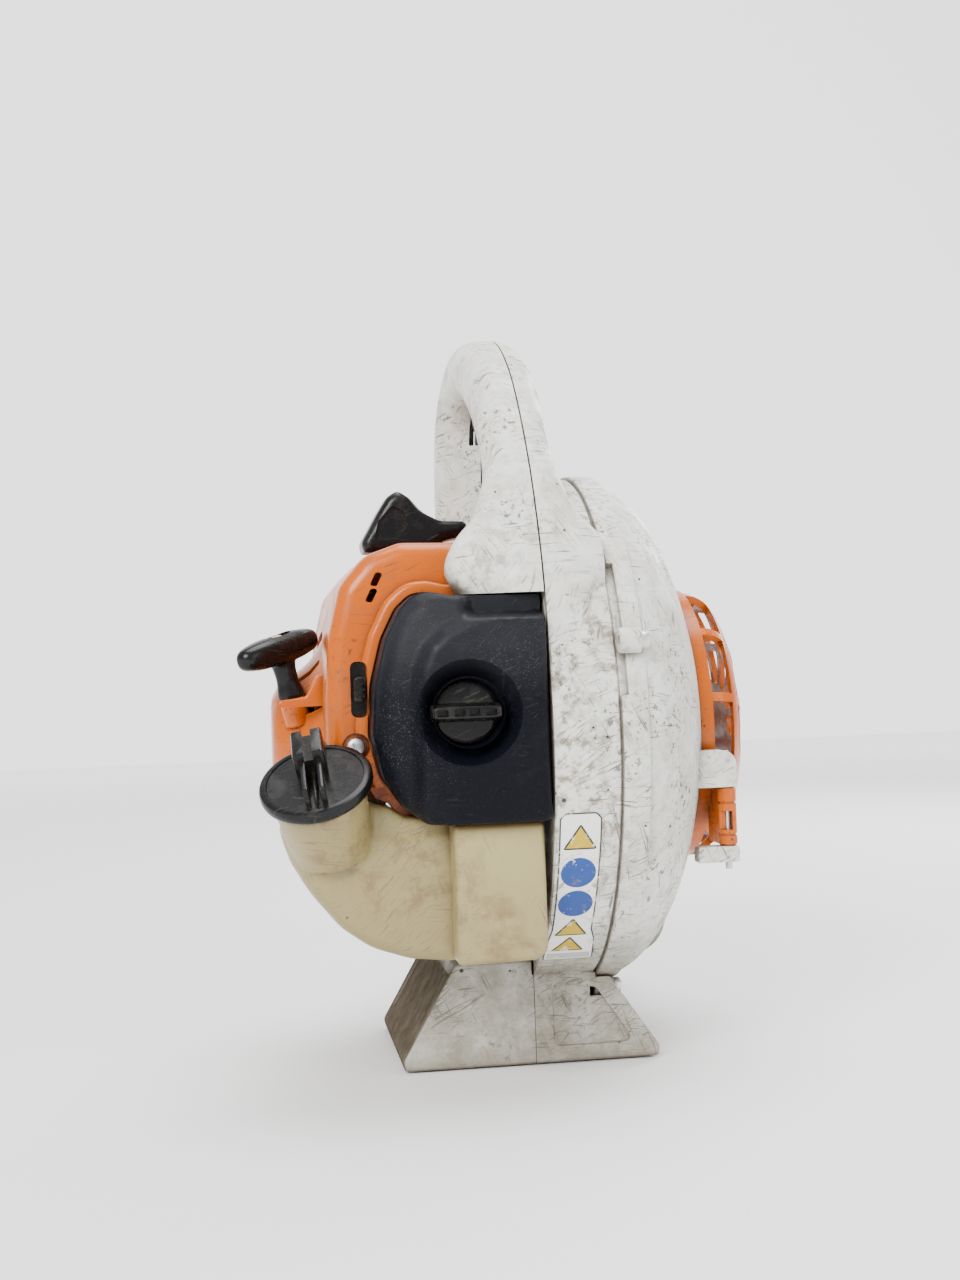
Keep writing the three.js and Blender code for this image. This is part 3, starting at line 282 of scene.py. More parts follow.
def stained_cream():
    n = Nodes("stained_cream_plastic")
    n.base(n.noise(10, 3), (0.38, 0.32, 0.14), (0.31, 0.25, 0.1))
    # Painted shadow with fuel: darker towards -X on the left lobe, for the shroud's shade and the darker fuel seen
    # through the wall.
    n.coat(n.ramp(n.along(0), -0.04, -0.1), (0.24, 0.185, 0.072), 0.6)
    n.coat(n.ramp(n.along(2), 0.118, 0.06), (0.22, 0.17, 0.07), 0.45)
    film = n.ramp(n.noise(40, 8, 0.7), 0.5, 0.78, 0, 0.4)
    n.coat(film, (0.25, 0.195, 0.1))
    n.coat(n.blots(90, 16, 0.46, 0.16, 0.48, 5), (0.17, 0.11, 0.045), 0.7)
    # Painted shade with grime: brown darkening in corners and gaps, laid by ambient occlusion.
    n.coat(n.crevices(0.008), (0.15, 0.09, 0.04), 0.8)
    lines = n.scratches(4, 0.64, 4)
    n.coat(lines, (0.14, 0.1, 0.06), 0.6)
    n.coat(n.specks(95, 0.08, 0.25), (0.1, 0.065, 0.04))
    return n.finish(Roughness=n.ramp(film, 0, 0.4, 0.32, 0.6), Subsurface_Weight=0.2,
                    Subsurface_Radius=(0.006, 0.004, 0.002), Subsurface_Scale=1,
                    Normal=n.relief(260, lines))


def bare_metal(name, tint, roughness, grain_scale=900):
    n = Nodes(name)
    tarnish = n.ramp(n.noise(70, 7, 0.7), 0.45, 0.75, 0, 0.6)
    n.base(tarnish, tint, tuple(0.4 * c for c in tint))
    grain = n.noise(grain_scale, 4, 0.6)
    return n.finish(Metallic=1, Normal=n.bump(grain, 0.3),
                    Roughness=n.ramp(n.noise(60, 5), 0.3, 0.7, roughness, roughness + 0.25))


def dull_rubber():
    n = Nodes("dull_rubber")
    n.base(n.ramp(n.noise(60, 6), 0.4, 0.75, 0, 0.5), (0.01, 0.01, 0.01), (0.06, 0.055, 0.05))
    return n.finish(Roughness=0.75, Normal=n.bump(n.noise(900, 3), 0.3))


def filter_felt():
    n = Nodes("filter_felt")
    n.base(n.noise(700, 6, 0.8), (0.05, 0.05, 0.045), (0.16, 0.15, 0.13))
    return n.finish(Roughness=0.95, Sheen_Weight=0.3, Normal=n.bump(n.noise(1500, 4, 0.8), 0.8, 0.0005))


def braided_rope():
    n = Nodes("braided_rope")
    weave = n.add("TexWave", Vector=n.stretched(turn=(0.3, 0.5, 0)), Scale=420, Distortion=3, Detail=2)
    n.base(weave, (0.42, 0.34, 0.17), (0.74, 0.66, 0.44))
    return n.finish(Roughness=0.85, Normal=n.bump(weave, 0.8, 0.0004))


def sticker(name, tint):
    """The look of printed film, rubbed and chipped down to a pale backing."""
    n = Nodes(name)
    worn = n.ramp(n.noise(150, 6, 0.7), 0.58, 0.62)
    n.base(n.times(worn, 0.85), tint, (0.6, 0.58, 0.52))
    n.coat(n.blots(240, 40, 0.56, 0.08, 0.48, 9), (0.16, 0.12, 0.08), 0.7)
    material = n.finish(Roughness=n.ramp(worn, 0, 1, 0.32, 0.6), Normal=n.bump(worn, 0.2, 0.0001))
    return material, "white_plastic"


def pale_floor():
    n = Nodes("pale_floor")
    n.base(n.noise(3, 4), (0.86, 0.86, 0.86), (0.83, 0.83, 0.83))
    reach = n.add("VectorMath", 1, {"operation": "LENGTH"}, _0=n.place)
    return n.finish(Roughness=0.8, Emission_Color=(1, 1, 1),
                    Emission_Strength=n.ramp(reach, 0.4, 2.6, 0, 1.2))


# Each look is a material with its slot.
WHITE = (worn_white(), "white_plastic")
ORANGE = (worn_orange(), "orange_plastic")
BLACK = (textured_black(), "black_plastic")
SMOOTH_BLACK = (smooth_black(), "black_plastic")
CREAM = (stained_cream(), "cream_plastic")
STEEL = (bare_metal("worn_steel", (0.62, 0.62, 0.63), 0.28), "steel")
ALUMINIUM = (bare_metal("cast_aluminium", (0.52, 0.53, 0.54), 0.45, 500), "cast_aluminium")
RUBBER = (dull_rubber(), "rubber")
FELT = (filter_felt(), "filter_felt")
ROPE = (braided_rope(), "rope")
LOOKS = (WHITE, ORANGE, BLACK, CREAM, STEEL, ALUMINIUM, RUBBER, FELT, ROPE)
BY_SLOT = {slot: material for material, slot in LOOKS}
SLOT_OF = {part["node"]: part["material_slot"] for part in frame["record"]["subparts"]}

# ---- camera and light ----


def place_camera():
    data = bpy.data.cameras.new("camera")
    data.lens = 47.8
    camera = bpy.data.objects.new("camera", data)
    link(camera)
    yaw, pitch, roll = (radians(a) for a in (8.124, 0.84, 2))
    turn = Matrix.Rotation(-yaw, 4, "Z") @ Matrix.Rotation(pi / 2 + pitch, 4, "X")
    turn = turn @ Matrix.Rotation(-roll, 4, "Z")
    camera.matrix_world = Matrix.Translation((-0.1389, -0.8771, 0.197)) @ turn
    bpy.context.scene.camera = camera


def area_light(name, place, target, size, watts):
    data = bpy.data.lights.new(name, "AREA")
    data.size = size
    data.energy = watts
    light = bpy.data.objects.new(name, data)
    light.location = place
    light.rotation_euler = (Vector(target) - Vector(place)).to_track_quat("-Z", "Y").to_euler()
    link(light)


def light_the_studio():
    area_light("key", (-0.9, -1.5, 1.2), (0, 0, 0.18), 0.9, 56)
    area_light("fill", (1.3, -1.2, 0.7), (0, 0, 0.18), 1.2, 14)
    area_light("top", (0.1, 0.1, 1.7), (0, 0, 0.2), 1, 30)
    area_light("rim", (0.9, 1, 0.9), (0, 0, 0.2), 0.8, 16)
    n = Nodes("studio", "worlds")
    background = n.tree.nodes["Background"].inputs
    n.set(background["Color"], (1, 1, 1))
    ahead = n.add("SeparateXYZ", "Y", Vector=n.places["Generated"])
    n.set(background["Strength"], n.ramp(ahead, 0.55, 0.9, 0.75, 2.4))
    bpy.context.scene.world = n.owner


place_camera()
light_the_studio()

# ---- outlines, in millimetres ----


def spaced(path, count, gaps):
    """The first count of the points that cut a path into equal gaps."""
    marks = [0]
    for a, b in zip(path, path[1:]):
        marks.append(marks[-1] + (b - a).length)
    result = []
    k = 0
    for i in range(count):
        mark = marks[-1] * i / gaps
        while k < len(marks) - 2 and marks[k + 1] < mark:
            k += 1
        span = max(marks[k + 1] - marks[k], 1e-9)
        result.append(path[k].lerp(path[k + 1], min(1, (mark - marks[k]) / span)))
    return result


def evenly(outline, count):
    """Points spaced evenly round a closed outline."""
    ends = [Vector(p) for p in outline]
    return spaced(ends + ends[:1], count, count)


def smooth_curve(points, count):
    """Points spaced evenly along a Catmull-Rom curve through the given ones."""
    ends = [Vector(p) for p in points]
    last = len(ends) - 1
    fine = []
    for i in range(last):
        p0, p1, p2, p3 = (ends[min(max(i + k, 0), last)] for k in (-1, 0, 1, 2))
        for step in range(24):
            t = step / 24
            linear, square, cube = p2 - p0, 2 * p0 - 5 * p1 + 4 * p2 - p3, 3 * p1 - p0 - 3 * p2 + p3
            fine.append(0.5 * (2 * p1 + linear * t + square * t * t + cube * t ** 3))
    return spaced(fine + ends[-1:], count, count - 1)


def rectangle(a0, a1, b0, b1):
    return [(a0, b0), (a1, b0), (a1, b1), (a0, b1)]


def circle(radius, sides):
    """Points round the crankshaft, as (y, z)."""
    turns = [2 * pi * i / sides for i in range(sides)]
    return [Vector((radius * cos(t), AXIS_Z + radius * sin(t))) for t in turns]


def rounded(outline, radius, steps=6):
    """A polygon whose corners are replaced by arcs; a corner may carry its own radius."""
    result = []
    for i, corner in enumerate(outline):
        here = Vector(corner[:2])
        r = corner[2] if len(corner) > 2 else radius
        before = Vector(outline[i - 1][:2]) - here
        after = Vector(outline[(i + 1) % len(outline)][:2]) - here
        reach = r / tan(before.angle(after) / 2)
        reach = min(reach, 0.48 * before.length, 0.48 * after.length)
        start = here + before.normalized() * reach
        end = here + after.normalized() * reach
        for s in range(steps + 1):
            t = s / steps
            result.append(start * (1 - t) ** 2 + here * 2 * t * (1 - t) + end * t * t)
    return result


def inset_ring(outline, amount):
    """The outline moved inwards."""
    ring = [Vector(p) for p in outline]
    if amount == 0:
        return ring
    area = sum(a.x * b.y - b.x * a.y for a, b in zip(ring, ring[1:] + ring[:1]))
    side = 1 if area > 0 else -1
    result = []
    for before, here, after in zip(ring[-1:] + ring[:-1], ring, ring[1:] + ring[:1]):
        along = after - before
        inward = Vector((-along.y, along.x)).normalized() * side
        result.append(here + inward * amount)
    return result


def oval(centre, along, across, half_a, half_b, squareness=1, count=32):
    ring = []
    for i in range(count):
        turn = 2 * pi * i / count
        c, s = cos(turn), sin(turn)
        a = copysign(abs(c) ** (1 / squareness), c)
        b = copysign(abs(s) ** (1 / squareness), s)
        ring.append(Vector(centre) + Vector(along) * half_a * a + Vector(across) * half_b * b)
    return ring


# ---- solids, in millimetres ----
FAR = 400
GAP = 0.3
HALF = GAP / 2
WALL = 2.6
SAME_PLACE = 1e-4


def piece(build):
    """A new object whose mesh build(bm) fills in millimetres."""
    bm = bmesh.new()
    build(bm)
    bmesh.ops.scale(bm, vec=(MM, MM, MM), verts=bm.verts)
    bmesh.ops.recalc_face_normals(bm, faces=bm.faces)
    mesh = bpy.data.meshes.new("tool")
    bm.to_mesh(mesh)
    bm.free()
    obj = bpy.data.objects.new("tool", mesh)
    link(obj)
    return obj


def lofted(rings, closed=False):
    """Quads through rings of equal length; closed joins the last ring to the first."""
    def build(bm):
        rows = [[bm.verts.new(p) for p in ring] for ring in rings]
        pairs = list(zip(rows, rows[1:]))
        if closed:
            pairs.append((rows[-1], rows[0]))
        for low, high in pairs:
            for i in range(len(low)):
                j = (i + 1) % len(low)
                bm.faces.new((low[i], low[j], high[j], high[i]))
        if not closed:
            bm.faces.new(list(reversed(rows[0])))
            bm.faces.new(rows[-1])

    return piece(build)


def extruded(axis, outline, start, end, edge=0, steps=3):
    """An outline extruded along X or Y; edge rounds off both ends."""
    stations = [(start, 0)]
    if edge:
        turns = [0.5 * pi * i / steps for i in range(steps, -1, -1)]
        stations = [(start + edge * (1 - sin(a)), edge * (1 - cos(a))) for a in turns]
    stations += [(start + end - place, inset) for place, inset in reversed(stations)]
    put = {X: lambda p, place: (place, p.x, p.y), Y: lambda p, place: (p.x, place, p.y)}[axis]
    return lofted([[put(p, place) for p in inset_ring(outline, inset)] for place, inset in stations])


def frame_of(axis):
    axis = Vector(axis).normalized()
    side = axis.orthogonal().normalized()
    return side, axis.cross(side), axis


def turned(profile, centre=FAN_AXIS, axis=X, sides=96, closed=False):
    """A profile of (radius, place along axis) turned about an axis through centre."""
    side, other, axis = frame_of(axis)
    count = len(profile)

    def build(bm):
        rows = []
        for i in range(sides):
            turn = 2 * pi * i / sides
            out = side * cos(turn) + other * sin(turn)
            rows.append([bm.verts.new(Vector(centre) + out * r + axis * along) for r, along in profile])
        for a, b in zip(rows, rows[1:] + rows[:1]):
            for k in range(count if closed else count - 1):
                m = (k + 1) % count
                bm.faces.new((a[k], b[k], b[m], a[m]))
        bmesh.ops.remove_doubles(bm, verts=bm.verts, dist=SAME_PLACE)

    return piece(build)


def pin(start, end, radius, sides=32, tip=0):
    """A round bar between two points, with chamfers of size tip."""
    start, end = Vector(start), Vector(end)
    length = (end - start).length
    profile = [(0, 0), (radius - tip, 0), (radius, tip), (radius, length - tip), (radius - tip, length),
               (0, length)]
    if tip == 0:
        profile = [(0, 0), (radius, 0), (radius, length), (0, length)]
    return turned(profile, start, end - start, sides)


def room(x0=-FAR, x1=FAR, y0=-FAR, y1=FAR, z0=-FAR, z1=FAR):
    """A block between these limits, mostly for cutting."""
    low, high = Vector((x0, y0, z0)), Vector((x1, y1, z1))

    def build(bm):
        made = bmesh.ops.create_cube(bm, size=1)["verts"]
        bmesh.ops.scale(bm, vec=high - low, verts=made)
        bmesh.ops.translate(bm, vec=(high + low) / 2, verts=made)

    return piece(build)


def applied(obj):
    """Replaces an object's mesh by what its modifiers make of it."""
    graph = bpy.context.evaluated_depsgraph_get()
    mesh = bpy.data.meshes.new_from_object(obj.evaluated_get(graph))
    obj.modifiers.clear()
    obj.data = mesh
    return obj


def combine(obj, operation, tools):
    for tool in tools:
        modifier = obj.modifiers.new(operation, "BOOLEAN")
        modifier.operation = operation
        modifier.solver = "MANIFOLD"
        modifier.object = tool
    applied(obj)
    for tool in tools:
        bpy.data.objects.remove(tool)
    return obj


def joined(obj, *tools):
    return combine(obj, "UNION", tools)


def cut(obj, *tools):
    return combine(obj, "DIFFERENCE", tools)


def within(obj, **limits):
    return combine(obj, "INTERSECT", [room(**limits)])


def moulded(obj, voxel, rounds):
    """Gives sharp solids the soft edges of a moulding: an even remesh, then smoothing."""
    remesh = obj.modifiers.new("remesh", "REMESH")
    remesh.mode = "VOXEL"
    remesh.voxel_size = voxel * MM
    smooth = obj.modifiers.new("smooth", "SMOOTH")
    smooth.factor = 0.5
    smooth.iterations = rounds
    return applied(obj)


def copy_of(obj):
    twin = obj.copy()
    twin.data = obj.data.copy()
    link(twin)
    return twin


def dress(obj, name, body, look, *nodes, angle=35):
    """Names and colours a piece, sharpens edges above angle and ties it to the frame."""
    obj.name = name
    material, slot = look
    obj.data.materials.clear()
    obj.data.materials.append(material)
    obj.data.shade_smooth()
    bm = bmesh.new()
    bm.from_mesh(obj.data)
    for edge in bm.edges:
        edge.smooth = len(edge.link_faces) != 2 or edge.calc_face_angle(0) <= radians(angle)
    bm.to_mesh(obj.data)
    bm.free()
    if body:
        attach(obj, body)
    if nodes:
        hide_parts(*nodes)


# ---- housing: the handle loop and its flare are fused once, then split at the parting line ----
# Each handle station: y, z, half thickness, half width to the left, half width to the right.
HANDLE = [(84, 250, 15, 25, 17), (83, 300, 15, 25, 17), (73, 336, 15, 24, 16), (42, 354, 16, 22, 15),
          (5, 350, 16, 22, 15), (-32, 330, 16, 20, 15), (-62, 300, 16, 19, 14), (-84, 266, 17, 21, 20),
          (-99, 230, 18, 24, 27), (-107, 198, 16, 22, 29)]
# Each flare level: z, half width, rear y, front y.
FLARE = [(222, 34, -112, -80), (230, 38, -113, -84), (238, 43, -112, -86), (246, 42.5, -111, -86),
         (256, 37, -107, -84), (268, 27, -101, -76), (290, 19, -90, -64)]
FLARE_BOTTOM_Z = 229.5
PARTING = 0.4
TRIGGER_ROOM = dict(x0=-7, x1=7, y0=13, y1=68, z0=320, z1=357)
DUCT = (45, 80, 36)
DUCT_END_Y = 148
# The fan chamber's outer wall, as (radius, x).
CHAMBER_WALL = [(126, 40), (124, 45), (118, 55.6), (108, 63.2), (93, 71.8), (76, 78.3)]
CHAMBER = [(0, 3.5), (126, 3.5), *CHAMBER_WALL, (64, 80.4), (64, 70), (0, 70)]


def handle_rings(inset, count, sides):
    stations = smooth_curve(HANDLE, count)
    rings = []
    for i, (y, z, thick, left, right) in enumerate(stations):
        before, after = stations[max(i - 1, 0)], stations[min(i + 1, count - 1)]
        along = Vector((0, after[0] - before[0], after[1] - before[1])).normalized()
        outward = along.cross(Vector(X))
        middle, half_width = ((right - left) / 2, y, z), (left + right) / 2
        rings.append(oval(middle, X, outward, half_width - inset, thick - inset, 1.22, sides))
    return rings


def fused_handle():
    loop = lofted(handle_rings(0, 90, 44))
    levels = smooth_curve(FLARE, 26)
    flare = lofted([oval((-3, (rear + front) / 2, z), X, Y, width - 3, (front - rear) / 2, 1.7, 56)
                    for z, width, rear, front in levels])
    return moulded(joined(loop, flare), 1.3, 7)


def duct(inset):
    x, z, radius = DUCT
    levels = smooth_curve([(8, 38, 40, 1.8), (70, 37, 39, 1.5), (115, radius, radius, 1),
                           (DUCT_END_Y + (5 if inset else 0), radius, radius, 1)], 24)
    return lofted([oval((x, y, z), X, Z, a - inset, b - inset, max(1, square), 48)
                   for y, a, b, square in levels])


def chamber():
    return joined(turned(CHAMBER, sides=144), duct(3))


def hollow_handle():
    return within(lofted(handle_rings(3, 60, 28)), z0=266)


def bolts_at(radius):
    """Places (y, z) of the four bolts through the crankcase and the starter housing."""
    turns = [radians(degrees) for degrees in (10, 170, 210, 330)]
    return [(radius * cos(turn), AXIS_Z + radius * sin(turn)) for turn in turns]


STAND_Y = (-50, 60)


def stand(outline, inside):
    outer = extruded(Y, rounded(outline, 2.2), *STAND_Y, edge=1.6)
    return cut(outer, extruded(Y, inside, STAND_Y[0] + 3, STAND_Y[1] - 3))


def right_stand():
    body = stand([(-9, 0), (62, 0, 3), (62.6, 5, 4), (37, 43, 8), (-9, 51)],
                 [(-15, 3), (56.5, 3), (33, 41), (-15, 47)])
    within(body, x0=HALF)
    panel = extruded(Y, rounded([(9, 8), (50, 8), (31, 36), (9, 40)], 4), -55, STAND_Y[0] + 0.9)
    return cut(body, panel)


def left_stand():
    body = stand([(9, 0), (9, 51), (-39, 51, 3), (-66, 5, 4), (-65, 0, 3)],
                 [(15, 3), (15, 48), (-37, 48), (-61.5, 3)])
    within(body, x1=-HALF)
    x, z, x2, z2 = -62, 11.8, -43, 44.2
    flank = lofted([[(x - 8, y, z - 4.7), (x + 2.4, y, z + 1.4), (x2 + 2.4, y, z2 + 1.4),
                     (x2 - 8, y, z2 - 4.7)] for y in (-44, 54)])
    tongue = room(-9.3, 1, -9.3, 9.3, -1, 3.3)
    return cut(body, flank, tongue)


def make_housing():
    whole = fused_handle()
    left = copy_of(whole)
    band = turned([(13, HALF), (128.2, HALF), (129, 1), (129, 29.8), (128, 30.85), (126, 30.85), (126, 3.5),
                   (13, 3.5)], sides=160, closed=True)
    right = within(whole, x0=PARTING, x1=SEAM_X - 1)
    duct_half = within(duct(0), x0=HALF, x1=SEAM_X - HALF)
    seam = extruded(X, circle(RIM_R + 3, 96), SEAM_X - HALF, 200)
    stand_right = cut(right_stand(), seam, within(duct(-0.5), x0=SEAM_X),
                      pin((SEAM_X - 3, *SCREWS_AT[1]), (60, *SCREWS_AT[1]), 8))
    tongue = room(-9, 5, -9, 9, 0, 3)
    joined(band, right, duct_half, stand_right, tongue)
    cut(band, chamber(), room(**TRIGGER_ROOM), room(-5, 5, -22, 22, 218, 248),
        *[pin((-5, *place), (8, *place), 2.8, 16) for place in bolts_at(52)])
    dress(band, "housing_band", "root", WHITE, "fan_housing_inner")
    within(left, x1=-PARTING, z0=FLARE_BOTTOM_Z)
    cut(left, room(SHROUD_LOW.x, FAR, -85.3, FAR, 0, SHROUD_HIGH.z + GAP), hollow_handle(),
        room(**TRIGGER_ROOM))
    dress(left, "handle_left_shell", "root", WHITE, "handle_shell_left")
    foot = cut(left_stand(), extruded(X, circle(RIM_R + GAP, 96), -1, 5))
    dress(foot, "stand_left_shell", "root", WHITE, "stand_left")


make_housing()

# ---- the housing's outer half: a turned shell whose seam flange changes with the angle ----
FACE_TOP = 83.6
FLANGE_INSET = (142.6, 172)
SHELL_CURVE = [(127.6, 45.2), (126.4, 48.5), (123.4, 53.5), (118.6, 59), (112, 64.6), (104.5, 69.5),
               (96.5, 73.6), (88.5, 77), (80.5, 80), (74, 82.4), (70.6, FACE_TOP)]
SHELL_INSIDE = [(60, 82.4), (60, 76), (63, 76), (63, 80.6), *CHAMBER_WALL[::-1], (126, SEAM_X + HALF)]


def shell_profile(degrees):
    inset = 3.2 if FLANGE_INSET[0] < degrees < FLANGE_INSET[1] else 0
    start = SEAM_X + HALF
    flange = [(127.5, start), (127.6, start + 0.2 + inset), (130, start + 0.4 + inset),
              (130.5, start + 1 + inset), (130.5, 42.6), (130, 43.6), (128, 44.4)]
    return flange + smooth_curve(SHELL_CURVE, 26) + [(61.5, FACE_TOP)] + SHELL_INSIDE


def turned_shell():
    steps = {edge + side for edge in FLANGE_INSET for side in (-0.12, 0.12)}
    angles = sorted({i * 2.5 for i in range(144)} | steps)
    rings = []
    for degrees in angles:
        c, s = cos(radians(degrees)), sin(radians(degrees))
        rings.append([(x, r * c, AXIS_Z + r * s) for r, x in shell_profile(degrees)])
    return lofted(rings, closed=True)


def hinge_lug(z0, z1, shoulder):
    """A lug whose outer end is rounded off over the shoulder's height."""
    x, y = HINGE.x, HINGE.y
    outline = rounded([(77, z0, 1.2), (x + 4.5, z0, 1.5), (x + 4.5, z1, shoulder), (77, z1, 1.5)], 1, 8)
    return extruded(Y, outline, y - 4.5, y + 4.5, 0.8, 3)


def make_shell():
    shell = turned_shell()
    bosses = [pin((SEAM_X + HALF, *place), (41, *place), 5.8, 48, 0.5) for place in SCREWS_AT]
    joined(shell, within(duct(0), x0=SEAM_X + HALF), hinge_lug(98, 105.7, 1.5), hinge_lug(134, 152, 9),
           pin((79, *LATCH_AT), (89.5, *LATCH_AT), 6, 40, 0.8), *bosses)
    holes = [pin((30, *place), (50, *place), 2.4) for place in SCREWS_AT]
    cut(shell, chamber(), pin((80, *LATCH_AT), (120, *LATCH_AT), 2.7),
        pin((HINGE.x, HINGE.y, 90), (HINGE.x, HINGE.y, 170), 2.1), *holes)
    inlet = turned([(59, 75), (60, 76), (60, 88), (61.5, 89.5), (59, 95)], sides=144, closed=True)
    cut(shell, inlet)
    dress(shell, "housing_shell", "root", WHITE, "fan_housing_outer")


def screw_head(name, centre, axis, head, shank, length, body, node):
    """A pan head with a cross recess, on a plain shank."""
    axis = Vector(axis).normalized()
    profile = [(0, -length), (shank, -length), (shank, 0), (head * 0.97, 0), (head, 0.4), (head, 2.6),
               (head * 0.9, 3.5), (head * 0.6, 4.1), (0, 4.3)]
    screw = turned(profile, centre, axis, 32)
    side, other, _ = frame_of(axis)
    for long_way, short_way in ((side, other), (other, side)):
        a, b = long_way * head * 0.55, short_way * head * 0.13
        low, high = Vector(centre) + axis * 2.2, Vector(centre) + axis * 6
        slot = lofted([[end + a + b, end - a + b, end - a - b, end + a - b] for end in (low, high)])
        cut(screw, slot)
    dress(screw, name, body, STEEL, node)


make_shell()
for i, place in enumerate(SCREWS_AT):
    screw_head(f"housing_screw_head_{i + 1}", (41.3, *place), X, 4.1, 2, 9, "root",
               f"housing_screw_{i + 1}")
screw_head("latch_screw_head", (93.3, *LATCH_AT), X, 4, 1.7, 11, "guard", "guard_latch_screw")

# ---- intake guard ----
GUARD_DOME = [(70, 84), (70, 93), (68.4, 97.5), (64.5, 102.5), (56, 107.6), (45, 111.4), (30, 113.9),
              (15, 115), (0, 115)]
GUARD_INSIDE = [(0, 112), (28, 111.2), (43.5, 108.6), (55, 104.6), (62.5, 99.8), (66.4, 93), (66.8, 84)]
WINDOW_PITCH = 30
FIRST_WINDOW = 3
SOLID_SECTOR = 7
# Each ring of windows: inner and outer radius, lowest and highest x of the cut.
WINDOW_SPANS = ((20, 38, 84, 130), (42, 59, 84, 130), (60, 76, 90.5, 102))


def guard_window(inner, outer, low_x, high_x, degrees):
    ring = []
    for radius, side in ((inner, -1), (outer, -1), (outer, 1), (inner, 1)):
        turn = radians(degrees) + side * (radians(WINDOW_PITCH / 2) - 2.2 / radius)
        ring.append((radius * cos(turn), AXIS_Z + radius * sin(turn)))
    return extruded(X, rounded(ring, 1.6, 3), low_x, high_x)


def make_guard():
    outside = smooth_curve(GUARD_DOME, 40)
    inside = smooth_curve(GUARD_INSIDE, 24)
    outside[-1], inside[0] = (0, outside[-1][1]), (0, inside[0][1])
    dome = turned(outside + inside, sides=144, closed=True)
    x, y = HINGE.x, HINGE.y
    knuckle = joined(pin((x, y, 106), (x, y, 133.7), 4.5, 40, 0.6), room(90, 95, y, -55, 106, 133.7))
    cut(knuckle, room(x - 6, x + 1.5, y - 6, y - 1.6, 113.5, 122.5),
        *[turned([(3.9, z), (6, z), (6, z + 1.1), (3.9, z + 1.1)], (x, y, 0), Z, 40, True)
          for z in (110.5, 126)])
    tab = extruded(X, rounded(rectangle(67, 81, 156, 170), 4), 89.8, 93, 0.6)
    cored = joined(knuckle, tab)
    cut(cored, extruded(X, circle(66, 96), 80, 96))
    windows = [guard_window(*span, FIRST_WINDOW + i * WINDOW_PITCH) for i in range(12)
               if i != SOLID_SECTOR for span in WINDOW_SPANS]
    cut(dome, *windows)
    joined(dome, cored)
    cut(dome, pin((x, y, 90), (x, y, 170), 2.1), pin((80, *LATCH_AT), (130, *LATCH_AT), 2.3))
    dress(dome, "inlet_guard", "guard", ORANGE, "intake_guard")


make_guard()

# ---- filter cover: a raised plate with sloping shoulders, and a funnel round the knob ----
COVER_LINE = [(-1.5, 126, 3), (-1.5, 228.4, 1.2), (-43, 228.9, 6), (-52, 231, 8), (-59, 230.4, 9),
              (-66, 224, 9), (-73, 210, 20), (-78.5, 189, 30), (-80, 166, 20), (-75.5, 147, 15),
              (-67, 134, 8), (-57, 126, 6)]
DISH = Vector((KNOB.x + 1, KNOB.z))
DISH_R = 23.7
PLATE_Y = COVER_LOW.y
COVER_WALL_Y = -112
# The raised plate's top and left edges, from the right to the bottom left.
PLATE_EDGE = [(0, 217.8), (-24, 217.8), (-36, 214.5), (-46, 209.5), (-52, 203.5), (-55.5, 196), (-57, 186),
              (-57, 120)]


def smooth_step(low, high, value):
    t = min(1, max(0, (value - low) / (high - low)))
    return t * t * (3 - 2 * t)


def outside_plate(x, z):
    """How far a point lies outside the raised plate, which is convex."""
    far = -50
    for (x0, z0), (x1, z1) in zip(PLATE_EDGE, PLATE_EDGE[1:]):
        length = hypot(x1 - x0, z1 - z0)
        far = max(far, ((z1 - z0) * (x - x0) - (x1 - x0) * (z - z0)) / length)
    return far


def cover_height(x, z, edge):
    """The cover's rear face as a place along y; edge is the distance in from the outline."""
    off = outside_plate(x, z)
    shelf = smooth_step(-40, -29, x) * smooth_step(217, 221.5, z)
    depth = 4.6 * smooth_step(-1.5, 7.5, off) + 0.27 * max(0, off - 2)
    depth += 13 * shelf + 1.2 * smooth_step(150, 126, z) * smooth_step(-52, -72, x)
    round_over = 2.6 if x > -50 and z < 220 else 9 - 5 * smooth_step(-58, -44, x)
    if edge < round_over:
        depth += round_over * (1 - sqrt(max(0, 1 - (1 - edge / round_over) ** 2)))
    reach = (Vector((x, z)) - DISH).length
    depth += 11.2 * (1 - smooth_step(14.6, 16.2, reach)) if reach < 16.2 else 0
    if 16.2 <= reach < DISH_R:
        depth += 10.6 * (1 - (reach - 16.2) / (DISH_R - 16.2)) + 0.4
    return PLATE_Y + 0.5 + depth


def cover_rows(line, wall, shift):
    """Rings from the rim to the middle of the dish; shift moves the face forward."""
    tree = KDTree(len(line))
    for i, p in enumerate(line):
        tree.insert((p[0], p[1], 0), i)
    tree.balance()
    rows = [[(p[0], y, p[1]) for p in line] for y in (COVER_HIGH.y, wall)]
    ways = [(Vector(p) - DISH).normalized() for p in line]
    for share in [1 - 0.012 * i for i in range(14)] + [0.832 - 0.026 * i for i in range(32)]:
        ring = []
        for p, way in zip(line, ways):
            place = (DISH + way * (DISH_R + 2.3)).lerp(Vector(p), share)
            edge = tree.find((place.x, place.y, 0))[2]
            ring.append((place.x, min(cover_height(*place, edge) + shift, wall), place.y))
        rows.append(ring)
    for reach in (25, 24.2, 23.9, 23.65, 23.3, 22.6, 21, 19, 17, 16.3, 16.1, 15.5, 14.9, 14.4, 12, 8, 3):
        places = [DISH + way * reach for way in ways]
        rows.append([(p.x, cover_height(*p, 50) + shift, p.y) for p in places])
    return rows


